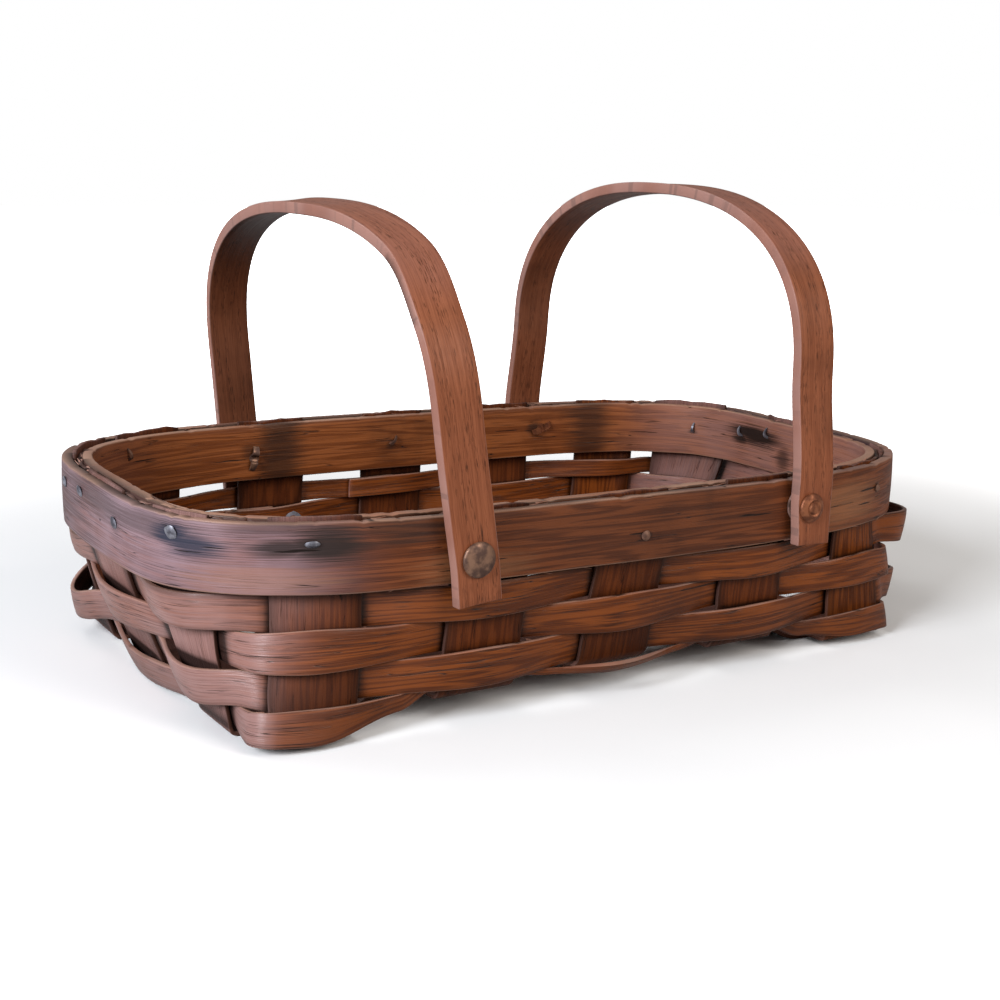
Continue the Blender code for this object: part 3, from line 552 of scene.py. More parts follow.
def weave_row(row, sizes, look):
    knots, around = row_knots(row, sizes)
    first = knots[2][0]
    lap = WEAVER_LAP / around / 2
    last = first + 1 + lap
    length = (last - first) * around

    def place(u, v):
        share = first + (last - first) * u
        offset, bulge, lean, upper, lower = row_station(knots, share)
        if row == 0:
            far = smooth((share % 1.0 - SLOT_START) / SLOT_FADE) * smooth((SLOT_END - share % 1.0) / SLOT_FADE)
            upper -= far * sizes.far_slot
        reach = share * around
        loose = 0.35 + 0.65 * min(1.0, abs(offset) / (2.5 * MM))
        upper += wander(reach, row + 0.5, sizes.edge_wander) * loose
        lower += wander(reach, row + 7.5, sizes.edge_wander) * loose
        offset += wander(reach, row + 3.1, 0.35 * MM, 25 * MM) * loose
        offset -= smooth((share - (last - 2 * lap)) / lap) * (WEAVER_THICK + WEAVE_GAP)
        height = lower + (upper - lower) * v
        outward = wall_normal(share, height)
        outward.z = 0
        crown = (1 - (2 * v - 1) ** 2) * 0.35 * MM
        point = on_wall(share, height, offset + crown) + outward.normalized() * (bulge + lean * v)
        point.z = max(point.z, 1.0 * MM)
        return point

    def painted_shade_at(point, normal, v, u):
        """Painted shade: a row is darkest where it dives behind an upright, and just under the hoops."""
        side = faces_out(point, normal)
        if abs(side) < 0.15:
            return 0.15
        share = first + (last - first) * u
        height = point.z - rim_fall(point.x) * min(1.0, point.z / RIM_LOW)
        apart = math.inf
        for upright, (middle, half) in enumerate(UPRIGHTS):
            if is_over(row, upright) == (side < 0):
                away = abs((share - middle - askew(upright, height) / around + 0.5) % 1.0 - 0.5)
                apart = min(apart, (away * around - half) / MM)
        # Painted shade reaches further from the uprights at the left end, for the dark slots there
        dark = 1.2 + 7.0 * smooth((-point.x - 168 * MM) / (14 * MM))
        painted_shade = 1.0 if apart < dark else 0.9 * math.exp((dark - apart) / 1.3)
        painted_shade += 0.25 * smooth((0.1 - v) / 0.1) + 0.15 * smooth((30 * MM - height) / (20 * MM))
        if side < 0:
            return painted_shade * 0.5 + low_inside_shade(point)
        return painted_shade + (0.6 * smooth((v - 0.88) / 0.12) if row == 0 else 0)

    return strip(f"oak_row_{row + 1}", ROW_COLUMNS, 6, place, length, WEAVER_WIDTH, WEAVER_THICK, 0.45 * MM,
                 look, row + 1, painted_shade_at=painted_shade_at)


# Stakes
def crossing_level(cross, is_high):
    level = STAKE_THICK / 2 + (FLOOR_ARCH if 0 < cross < 4 else 0)
    return level + (STAKE_THICK + LAY_GAP if is_high else 0)


def floor_level(place, centres, halves, levels):
    reaches = [half + 1.0 * MM for half in halves]
    if place <= centres[0] + reaches[0]:
        return levels[0]
    for i in range(len(centres) - 1):
        start, end = centres[i] + reaches[i], centres[i + 1] - reaches[i + 1]
        if place <= end:
            return levels[i] + (levels[i + 1] - levels[i]) * smooth((place - start) / (end - start))
        if place <= centres[i + 1] + reaches[i + 1]:
            return levels[i + 1]
    return levels[-1]


def stake_strip(name, shares, uprights, width, crossings, halves, levels, axis, seed, look, sizes):
    """A splint down one wall, along the floor and up the other wall."""
    top = BASKET_HEIGHT + sizes.stake_top + (seed % 3) * 0.4 * MM
    span = [wall_point(shares[side], 0) for side in (0, 1)]
    floor_long = (span[1] - span[0]).length
    ends = (levels[0], levels[-1])
    stations = []
    for i in range(WALL_STEPS + 1):
        stations.append(("wall", 0, top + (ends[0] + STAKE_BEND - top) * i / WALL_STEPS))
    for i in range(1, BEND_STEPS):
        stations.append(("bend", 0, i / BEND_STEPS))
    for i in range(FLOOR_STEPS + 1):
        reach = STAKE_BEND + (floor_long - 2 * STAKE_BEND) * i / FLOOR_STEPS
        stations.append(("floor", span[0][axis] + reach, 0))
    for i in range(BEND_STEPS - 1, 0, -1):
        stations.append(("bend", 1, i / BEND_STEPS))
    for i in range(WALL_STEPS, -1, -1):
        stations.append(("wall", 1, top + (ends[1] + STAKE_BEND - top) * i / WALL_STEPS))
    steps = len(stations) - 1

    def place(u, v):
        number = round(u * steps)
        kind, where, amount = stations[number]
        aside = (v - 0.5) * width + (v - 0.5) * wander(number * 5.0 * MM, seed + v, 1.6 * MM)

        def share_at(side, height):
            shift = askew(uprights[side], height)
            return shares[side] + (shift + (aside if side == 0 else -aside)) / girth(height)

        if kind == "wall":
            torn = noise.noise(Vector((v * 7, seed + where * 0.5, 0.7))) * 1.3 * MM
            height = amount + torn * smooth((amount - RIM_LOW) / HOOP_HEIGHT)
            return wall_point(share_at(where, amount), height)
        corners = [wall_point(share_at(side, 0), 0) for side in (0, 1)]
        if kind == "floor":
            length = corners[1][axis] - corners[0][axis]
            point = corners[0].lerp(corners[1], (where - corners[0][axis]) / length)
            point.z = floor_level(where, crossings, halves, levels)
            return point
        z = ends[where]
        wall = wall_point(share_at(where, z + STAKE_BEND), z + STAKE_BEND)
        corner = corners[where] + Vector((0, 0, z))
        floor = corner + (corners[1 - where] - corners[where]).normalized() * STAKE_BEND
        return wall * (1 - amount) ** 2 + corner * (2 * amount * (1 - amount)) + floor * amount ** 2

    def painted_shade_at(point, normal, v, u):
        """Painted shade: an upright is darkest at its foot, close under the row or hoop above it and just over the next
        one.
        """
        kind, where, amount = stations[round(u * steps)]
        # Painted shade on the floor part, and along the edges beside the slots
        if kind != "wall":
            return 0.45
        if not 0.012 < v < 0.988:
            return 0.75
        out = faces_out(point, normal) > 0
        height = point.z - rim_fall(point.x) * min(1.0, point.z / RIM_LOW)
        painted_shade = max(0.95 * smooth((11 * MM - height) / (5 * MM)), 0.4 * smooth((34 * MM - height) / (16 * MM)))
        for row in range(4):
            if is_over(row, uprights[where]) == out:
                low, high = row_zone(row, sizes)
                if row == 0 and point.y > 60 * MM:
                    high -= sizes.far_slot
                if low < height < high:
                    return 1.0
                if height <= low:
                    painted_shade = max(painted_shade, 0.8 * math.exp(-(low - height) / (2.2 * MM)))
                else:
                    painted_shade = max(painted_shade, 0.4 * math.exp(-(height - high) / (1.4 * MM)))
        if RIM_LOW > height:
            painted_shade = max(painted_shade, 0.8 * math.exp(-(RIM_LOW - height) / (2.4 * MM)))
        elif height > BASKET_HEIGHT - 0.5 * MM:
            painted_shade = 0.35
        return painted_shade if out else painted_shade * 0.55 + low_inside_shade(point)

    return strip(name, steps, 6, place, floor_long + 2 * top, width, STAKE_THICK, 0.4 * MM, look, seed,
                 painted_shade_at=painted_shade_at)


# Hoops
def hoop_band(name, offset, thick, start, seed, look, sizes):
    """A bent hoop whose shaved ends lie on each other."""
    lap = HOOP_LAP / RIM.length
    room = (thick - HOOP_GAP) / thick
    shares = [start + (1 + lap) * i / HOOP_COLUMNS for i in range(HOOP_COLUMNS + 1)]

    def first_share(along):
        return min(room - 0.2, max(0.2, along / lap * room))

    def solid_share(share):
        if share < start + lap:
            return first_share(share - start)
        if share > start + 1:
            return room - first_share(share - start - 1)
        return 1.0

    def place(u, v):
        share = shares[round(u * HOOP_COLUMNS)]
        left = (1 - solid_share(share)) * thick / 2
        shift = left if share > start + 1 else -left
        reach = share * RIM.length
        edge = RIM_LOW + wander(reach, seed, sizes.hoop_wander) * (1 - v) + HOOP_HEIGHT * v
        edge += wander(reach, seed + 4, sizes.hoop_wander * 0.6) * v
        edge -= max(0.0, wander(reach, seed + 9, 1.0, 4 * MM) - 0.25) * 1.5 * MM * v ** 6
        crown = -(2 * v - 1) ** 2 * 0.35 * MM
        return on_wall(share, edge, offset + shift + (crown if offset > 0 else -crown))

    def painted_shade_at(point, normal, v, u):
        """Painted shade: the faces that lie against the wall and the under edges are dark."""
        side = faces_out(point, normal) * (1 if offset > 0 else -1)
        if normal.z < -0.6:
            return 0.5
        return 0.8 if side < -0.2 else 0.0

    return strip(name, HOOP_COLUMNS, 8, place, RIM.length * (1 + lap), HOOP_HEIGHT, thick, sizes.hoop_ease,
                 look, seed, weight=lambda u: solid_share(shares[round(u * HOOP_COLUMNS)]), painted_shade_at=painted_shade_at)


def filler_band(look, sizes):
    """The thin splint between the hoops, ragged along its top and broken at the left end."""
    def place(u, v):
        share = FILLER_START + (1 - FILLER_BREAK / RIM.length) * u
        top = BASKET_HEIGHT - 1.6 * MM + noise.noise(Vector((share * 160, 3.1, 0))) * 1.6 * sizes.filler_ragged
        top += noise.noise(Vector((share * 900, 8.1, 0))) * sizes.filler_ragged * 0.5
        top = min(top, BASKET_HEIGHT + 0.6 * MM)
        low = BASKET_HEIGHT - FILLER_HEIGHT
        return on_wall(share, low + (top - low) * v, FILLER_OFFSET)

    # Painted shade in the recess between the hoops: 0.6 on top, 0.95 on the sides
    return strip("oak_filler", FILLER_COLUMNS, 3, place, RIM.length, FILLER_HEIGHT, FILLER_THICK, 0.25 * MM, look, 9,
                 painted_shade_at=lambda point, normal, v, u: 0.6 if normal.z > 0.4 else 0.95)


# Handles: place along the rim, drop of the rivet, length below and rise above it, height of the straight
# leg, how far the arch draws in, lean at rest, head radius of the rivet and squareness of the arch
HANDLES = {
    "left": {"x": -84.7 * MM, "drop": 17.0 * MM, "tail": 19.0 * MM, "rise": 135.5 * MM, "leg": 55.0 * MM,
             "draw_in": 0.0, "lean": math.radians(-5.0), "head": 7.5 * MM, "power": 2.5},
    "right": {"x": 92.4 * MM, "drop": 12.4 * MM, "tail": 17.8 * MM, "rise": 141.0 * MM, "leg": 60.0 * MM,
              "draw_in": 5.0 * MM, "lean": math.radians(2.1), "head": 6.8 * MM, "power": 2.4},
}


def rim_face(x, offset):
    """How far the rim stands out in Y at x, on the face at that offset."""
    steps = 800
    best = min((on_wall(i / steps / 2 - 0.25, BASKET_HEIGHT, offset) for i in range(steps + 1)),
               key=lambda point: abs(point.x - x))
    return -best.y


def handle_facts(spec):
    x = spec["x"]
    washer = max(rim_face(x - WASHER_RADIUS, RIM_FACE), rim_face(x + WASHER_RADIUS, RIM_FACE)) + LAY_GAP
    leg = washer + WASHER_THICK + LAY_GAP
    return {"washer": washer, "leg": leg, "head": leg + HANDLE_THICK + LAY_GAP,
            "inside": rim_face(x, INNER_FACE) - LAY_GAP,
            "pivot": Vector((x, 0, BASKET_HEIGHT + rim_fall(x) - spec["drop"]))}


def handle_path(spec, half_span, count=150):
    """Evenly spaced points of a handle's middle line, from its near tail over the top to its far tail."""
    top = half_span - spec["draw_in"]
    straight, leg, rise = WASHER_RADIUS + WASHER_THICK, spec["leg"], spec["rise"] - spec["leg"] - HANDLE_THICK / 2
    leg_steps, arch_steps = 12, 120
    half = [(half_span, -spec["tail"]), (half_span, straight)]
    half += [(half_span + (top - half_span) * smooth(k / leg_steps), straight + (leg - straight) * k / leg_steps)
             for k in range(1, leg_steps + 1)]
    for i in range(1, arch_steps + 1):
        angle = math.pi / 2 * i / arch_steps
        half.append((top * abs(math.cos(angle)) ** (2 / spec["power"]) if i < arch_steps else 0.0,
                     leg + rise * math.sin(angle) ** (2 / spec["power"])))
    whole = [Vector((0, -y, z)) for y, z in half] + [Vector((0, y, z)) for y, z in reversed(half[:-1])]
    ends = [0.0]
    for a, b in zip(whole, whole[1:]):
        ends.append(ends[-1] + (b - a).length)
    points, number = [], 0
    for i in range(count + 1):
        reach = ends[-1] * i / count
        while number < len(ends) - 2 and ends[number + 1] < reach:
            number += 1
        span = ends[number + 1] - ends[number]
        points.append(whole[number].lerp(whole[number + 1], (reach - ends[number]) / span))
    return points, ends[-1]


def bent_handle(side, look, sizes):
    spec = HANDLES[side]
    facts = handle_facts(spec)
    points, length = handle_path(spec, facts["leg"] + HANDLE_THICK / 2)
    turn = Matrix.Translation(facts["pivot"]) @ Matrix.Rotation(spec["lean"], 4, "Y")
    seed = 11 if side == "left" else 13

    def place(u, v):
        number = round(u * (len(points) - 1))
        point = points[number].copy()
        reach = length * u
        before, after = points[max(0, number - 1)], points[min(len(points) - 1, number + 1)]
        along = (after - before).normalized()
        outward = Vector((1, 0, 0)).cross(along)
        aside = 0.5 - v
        free = smooth((min(reach, length - reach) - 32 * MM) / (40 * MM))
        point += outward * ((2 * v - 1) ** 2 - 0.5) * 0.3 * MM
        taper = 1.7 * MM * smooth((0.05 - u) / 0.05) if side == "right" else 0
        point.x = aside * (HANDLE_WIDTH - taper + wander(reach, seed + (v > 0.5), 0.5 * MM))
        point.x += free * wander(reach, seed + 5, 0.7 * MM, 90 * MM)
        # The right handle's near leg leans to the right at its foot, the left one's bows to the left
        if side == "right":
            point.x += 2.4 * MM * smooth((0.26 - u) / 0.22) + 1.4 * MM * smooth((0.05 - u) / 0.05)
            point.x -= 1.5 * MM * smooth((u - 0.6) / 0.2)
        else:
            point.x -= 4.2 * MM * smooth((u - 0.03) / 0.19) ** 0.6 * (1 - smooth((u - 0.24) / 0.09))
        return turn @ point

    middle = facts["pivot"] + Vector((0, 0, 60 * MM))

    def painted_shade_at(point, normal, v, u):
        """Painted shade on the face towards the basket, deeper near the top of the left handle."""
        if normal.dot(Vector((0, point.y - middle.y, point.z - middle.z))) > -0.02:
            return 0.0
        return 0.58 + 0.2 * smooth((point.z - 150 * MM) / (50 * MM)) if side == "left" else 0.27

    return strip(f"bent_handle_{side}", len(points) - 1, 5, place, length, HANDLE_WIDTH, HANDLE_THICK,
                 sizes.handle_ease, look, seed, painted_shade_at=painted_shade_at)


# Metal
def spun(bm, profile, steps=36):
    """Spins a profile of (radius, height) points round Z."""
    verts = [bm.verts.new((radius, 0, height)) for radius, height in profile]
    edges = [bm.edges.new(pair) for pair in zip(verts, verts[1:])]
    bmesh.ops.spin(bm, geom=verts + edges, cent=(0, 0, 0), axis=(0, 0, 1), angle=2 * math.pi, steps=steps,
                   use_merge=True, use_duplicate=False)


def swept(bm, rings):
    """Bridges rings of four corners into a closed rod."""
    loops = []
    for corners in rings:
        verts = bmesh.ops.create_circle(bm, segments=4, radius=1.0)["verts"]
        for vert, corner in zip(verts, corners):
            vert.co = corner
        loops.append({edge for vert in verts for edge in vert.link_edges})
    for first, second in zip(loops, loops[1:]):
        bmesh.ops.bridge_loops(bm, edges=list(first | second))
    bmesh.ops.holes_fill(bm, edges=list(loops[0] | loops[-1]), sides=4)


def finish_metal(name, bm, place, look):
    bmesh.ops.remove_doubles(bm, verts=bm.verts, dist=0.02 * MM)
    bmesh.ops.recalc_face_normals(bm, faces=bm.faces)
    for face in bm.faces:
        face.smooth = True
    bmesh.ops.transform(bm, matrix=place, verts=bm.verts)
    made = new_piece(name, bm, look)
    made.data.set_sharp_from_angle(angle=math.radians(40))
    return made


def facing(x, y, z):
    return Matrix.Translation((x, y, z)) @ Matrix.Rotation(math.pi / 2 if y < 0 else -math.pi / 2, 4, "X")


def prong(bm, start, side, turn, reach, width, thick, curl):
    """One half of a split rivet's end: out of the bore, over, and curled back towards the wood."""
    turned = Matrix.Rotation(turn, 3, "Z")
    steps = 10
    rings = []
    for i in range(steps + 1):
        part = i / steps
        angle = part * (math.pi / 2 + curl)
        radius = 2.2 * MM
        if angle < math.pi / 2:
            y, z = radius * (1 - math.cos(angle)), -radius * math.sin(angle)
        else:
            over = (angle - math.pi / 2) / max(curl, 0.01)
            y, z = radius + (reach - radius) * over, -radius + 1.5 * MM * over ** 2
        half = width / 2 * (1 - 0.35 * part)
        deep = thick * (1 - 0.5 * part)
        tilt = min(angle, math.pi / 2)
        centre = start + turned @ Vector((0, side * (y + 0.3 * MM), z))
        wide = turned @ Vector((half, 0, 0))
        out = turned @ Vector((0, side * math.cos(tilt), -math.sin(tilt))) * deep / 2
        rings.append([centre + a + b for a, b in ((wide, out), (-wide, out), (-wide, -out), (wide, -out))])
    swept(bm, rings)


def rivet_piece(side, where, look, sizes):
    spec = HANDLES[side]
    facts = handle_facts(spec)
    y_side = -1 if where == "near" else 1
    radius, tail = spec["head"], -(facts["head"] - facts["inside"])
    bm = bmesh.new()
    rim, end, steps = 0.7 * MM, tail - 0.4 * MM, 9
    profile = [(0.0, sizes.dome)]
    for i in range(1, steps):
        angle = math.pi / 2 * i / steps
        profile.append((radius * math.sin(angle), rim + (sizes.dome - rim) * math.cos(angle)))
    profile += [(radius, 0.5 * MM), (radius - 0.3 * MM, 0.05 * MM), (RIVET_SHANK, 0.0), (RIVET_SHANK, end), (0.0, end)]
    if side == "right":
        # These heads are creased in a ring round the middle
        top = sizes.dome
        profile[0:5] = [(0.0, top - 0.1 * MM), (1.5 * MM, top), (2.2 * MM, top - 0.1 * MM), (2.9 * MM, top - 0.9 * MM),
                        (3.3 * MM, top - 0.9 * MM), (4.0 * MM, top - 0.35 * MM), (4.9 * MM, top - 0.7 * MM)]
    spun(bm, profile)
    turn = math.radians(12 if side == "left" else 68)
    for way in (-1, 1):
        prong(bm, Vector((0, 0, tail + 0.6 * MM)), way, turn, reach=6.0 * MM, width=4.4 * MM, thick=2.1 * MM, curl=0.9)
    return finish_metal(f"split_rivet_{side}_{where}", bm,
                        facing(facts["pivot"].x, y_side * facts["head"], facts["pivot"].z), look)


def washer_piece(side, where, look):
    facts = handle_facts(HANDLES[side])
    y_side = -1 if where == "near" else 1
    bm = bmesh.new()
    rim = 0.25 * MM
    profile = [(WASHER_BORE, WASHER_THICK), (WASHER_RADIUS - rim, WASHER_THICK), (WASHER_RADIUS, WASHER_THICK - rim),
               (WASHER_RADIUS, rim), (WASHER_RADIUS - rim, 0.0), (WASHER_BORE, 0.0), (WASHER_BORE, WASHER_THICK)]
    spun(bm, profile)
    return finish_metal(f"round_washer_{side}_{where}", bm,
                        facing(facts["pivot"].x, y_side * facts["washer"], facts["pivot"].z), look)


# Each nail: share of the way round, height share, turn of its tip, head radius and tilt
NAILS = [
    (0.003, 0.38, 60, 2.4, 0), (0.141, 0.58, 105, 2.1, 0), (0.263, 0.66, 84, 2.6, 0), (0.283, 0.58, 72, 2.6, 0),
    (0.319, 0.48, 98, 2.3, 0), (0.504, 0.47, 130, 2.6, 0), (0.649, 0.66, 80, 2.5, 0), (0.711, 0.72, 92, 2.7, 8),
    (0.734, 0.75, 96, 2.8, 12), (0.775, 0.60, 84, 2.8, 10), (0.814, 0.77, 90, 3.2, 14), (0.863, 0.72, 104, 3.0, 30),
]
# The nail whose tip stands up over the rim and hooks over: its rise and its reach aside
HOOKED_NAIL, HOOK_RISE, HOOK_ASIDE = 11, 15.0 * MM, -7.5 * MM


def nail_piece(number, look):
    """A cut nail: an uneven head, and the tip bent over in a loop inside the rim."""
    share, height_share, turn, radius, tilt = NAILS[number]
    radius *= MM
    outward = wall_normal(share, BASKET_HEIGHT)
    up = Vector((0, 0, 1))
    along = up.cross(outward).normalized()
    place = Matrix((along, up, outward)).transposed().to_4x4()
    place = Matrix.Translation(on_wall(share, RIM_LOW + HOOP_HEIGHT * height_share, RIM_FACE)) @ place
    bm = bmesh.new()
    profile = [(0.0, 1.35 * MM), (radius * 0.45, 1.2 * MM), (radius * 0.85, 0.8 * MM), (radius, 0.4 * MM),
               (radius * 0.92, 0.05 * MM), (0.9 * MM, 0.0), (0.9 * MM, -1.0 * MM), (0.0, -1.0 * MM)]
    spun(bm, profile, 18)
    for vert in bm.verts:
        if vert.co.z > 0:
            uneven = 1 + 0.16 * noise.noise(Vector((vert.co.x * 500, vert.co.y * 500, number * 2.7)))
            vert.co.x *= uneven
            vert.co.y *= uneven * (0.93 if tilt < 20 else 0.62)
    bmesh.ops.rotate(bm, verts=bm.verts, cent=(0, 0, 0.3 * MM),
                     matrix=Matrix.Rotation(math.radians(tilt), 3, "X"))
    depth = RIM_FACE - INNER_FACE
    base = Vector((0, 0, -depth))
    direction = Vector((math.cos(math.radians(turn)), math.sin(math.radians(turn)), 0))
    across = direction.cross(Vector((0, 0, 1)))
    over, end = base + direction * 3.4 * MM, base + direction * 5.4 * MM + Vector((0, 0, 0.4 * MM))
    if number == HOOKED_NAIL:
        over = base + direction * HOOK_RISE
        end = base + direction * HOOK_RISE * 0.52 + across * HOOK_ASIDE - Vector((0, 0, 2.0 * MM))
    steps = 8
    knots = interpolate_bezier(base + Vector((0, 0, 1.2 * MM)), base + Vector((0, 0, -2.6 * MM)),
                               over + Vector((0, 0, -3.0 * MM)), end, steps + 1)
    rings = []
    for i, knot in enumerate(knots):
        ahead = (knots[min(steps, i + 1)] - knots[max(0, i - 1)]).normalized()
        half = 0.8 * MM * (1 - (0.2 if number == HOOKED_NAIL else 0.5) * i / steps)
        normal = ahead.cross(across).normalized() * half
        wide = normal.normalized().cross(ahead) * half
        rings.append([knot + a for a in (wide + normal, -wide + normal, -wide - normal, wide - normal)])
    swept(bm, rings)
    return finish_metal(f"cut_nail_{number + 1:02d}", bm, place, look)


# Loose fibres
def sliver(bm, start, along, outward, length, width, rise):
    """A torn fibre: a thin blade that lifts away from the wood."""
    rings = []
    for i in range(5):
        part = i / 4
        centre = start + along * length * part + outward * rise * part ** 1.6
        side = along.cross(outward).normalized() * width / 2 * (1 - 0.9 * part) ** 0.7
        deep = outward * 0.16 * MM * (1 - 0.8 * part)
        rings.append([centre + a + b for a, b in ((side, deep), (-side, deep), (-side, -deep), (side, -deep))])
    swept(bm, rings)


# Settings
def sized(name, about, millimetres):
    return FloatProperty(name=name, description=about, default=millimetres * MM, unit="LENGTH")


class BasketWeave(PropertyGroup):
    """Sizes of the woven wall, the rim and the rivets that a user would change."""
    foot: sized("Foot", "Height of the bottom row's lower edge", 2.2)
    bottom_row: sized("Bottom row", "Height of the bottom row where it crosses", 13.4)
    rim_room: sized("Room under rim", "Gap between the top row and the hoops", 1.1)
    side_bulge: sized("Bulge", "How far a row stands out over an upright", 1.4)
    spread: sized("Spread", "How much wider a row is over an upright", 1.0)
    far_slot: sized("Far slot", "Open slot under the far rim", 3.9)
    edge_wander: sized("Edge wander", "Unevenness of the weavers' split edges", 0.7)
    stake_top: sized("Stake tops", "How far the uprights stand above the hoops", 0.7)
    hoop_wander: sized("Hoop wander", "Unevenness of the hoops' edges", 0.5)
    hoop_ease: sized("Hoop edge", "Rounding of the hoops' edges", 1.1)
    handle_ease: sized("Handle edge", "Rounding of the handles' edges", 0.55)
    filler_ragged: sized("Ragged filler", "How torn the filler's top is", 1.5)
    dome: sized("Rivet dome", "Height of the rivets' domed heads", 2.8)
    fibres: IntProperty(name="Loose fibres", description="Torn fibres along the edges", default=170, min=0, max=400)


def swatch(name, about, colour):
    return FloatVectorProperty(name=name, description=about, subtype="COLOR", size=3, min=0, max=1,
                               default=linear(colour))


class BasketColours(PropertyGroup):
    """Colours of the wood and metal."""
    oak_pale: swatch("Pale oak", "Light bands of the weavers", "#824216")
    oak_mid: swatch("Oak", "Main tone of the weavers", "#572709")
    oak_dark: swatch("Dark oak", "Pores and dark bands of the weavers", "#260f05")
    stake_pale: swatch("Pale stake", "Light bands of the uprights", "#673316")
    stake_mid: swatch("Stake", "Main tone of the uprights", "#4f240f")
    stake_dark: swatch("Dark stake", "Pores and dark bands of the uprights", "#241008")
    hoop_pale: swatch("Pale hoop", "Light bands of the hoops", "#7a4121")
    hoop_mid: swatch("Hoop", "Main tone of the hoops", "#542913")
    hoop_dark: swatch("Dark hoop", "Pores and dark bands of the hoops", "#261109")
    inner_pale: swatch("Pale inner hoop", "Light bands of the inner hoop", "#93532a")
    inner_mid: swatch("Inner hoop", "Main tone of the inner hoop", "#6e3817")
    inner_dark: swatch("Dark inner hoop", "Pores and dark bands of the inner hoop", "#2a1309")
    handle_pale: swatch("Pale handle", "Light bands of the handles", "#96583a")
    handle_mid: swatch("Handle", "Main tone of the handles", "#7a4228")
    handle_dark: swatch("Dark handle", "Pores and dark bands of the handles", "#4a2614")
    # This mauve grey serves both as weathering and as a painted sheen of the cool light from the left
    weathered_and_sheen: swatch("Weathered", "Mauve brown of the weathered weavers and uprights", "#a07a74")
    hoop_weathered_and_sheen: swatch("Weathered hoop", "Mauve grey of the weathered outer hoop", "#957b82")
    bronze: swatch("Bronze", "Browned bronze of the left rivets", "#5a4239")
    copper: swatch("Copper", "Browned copper of the right rivets", "#6a3c26")
    iron: swatch("Iron", "Dull nail iron", "#54525a")
    rust: swatch("Rust", "Rusty nail iron", "#4e342a")
    floor: swatch("Floor", "Pale studio floor", "#b8b8b8")


class BasketStage(PropertyGroup):
    """Light and floor."""
    floor_size: FloatProperty(name="Floor", description="Side of the studio floor", default=9.0, unit="LENGTH")
    key: FloatProperty(name="Window light", description="Power of the cool soft light from the left", default=46.0)
    front: FloatProperty(name="Front light", description="Power of the warm soft light in front", default=22.5)
    back: FloatProperty(name="Back light", description="Power of the soft light from above behind", default=8.0)
    fill: FloatProperty(name="Room light", description="Strength of the even light all round", default=0.24)


class BasketSettings(PropertyGroup):
    """All settings of the basket."""
    weave: PointerProperty(type=BasketWeave)
    colours: PointerProperty(type=BasketColours)
    stage: PointerProperty(type=BasketStage)


def settings():
    return bpy.context.scene.foraging_basket


def split_wood(name, kind, **more):
    """A split-oak finish in one of the wood's tones."""
    made = bpy.data.materials.get(name)
    if made:
        return made
    tones = settings().colours
    weathered_and_sheen = tones.hoop_weathered_and_sheen if kind == "hoop" else tones.weathered_and_sheen
    return oak(name, getattr(tones, kind + "_pale"), getattr(tones, kind + "_mid"), getattr(tones, kind + "_dark"),
               weathered_and_sheen, **more)


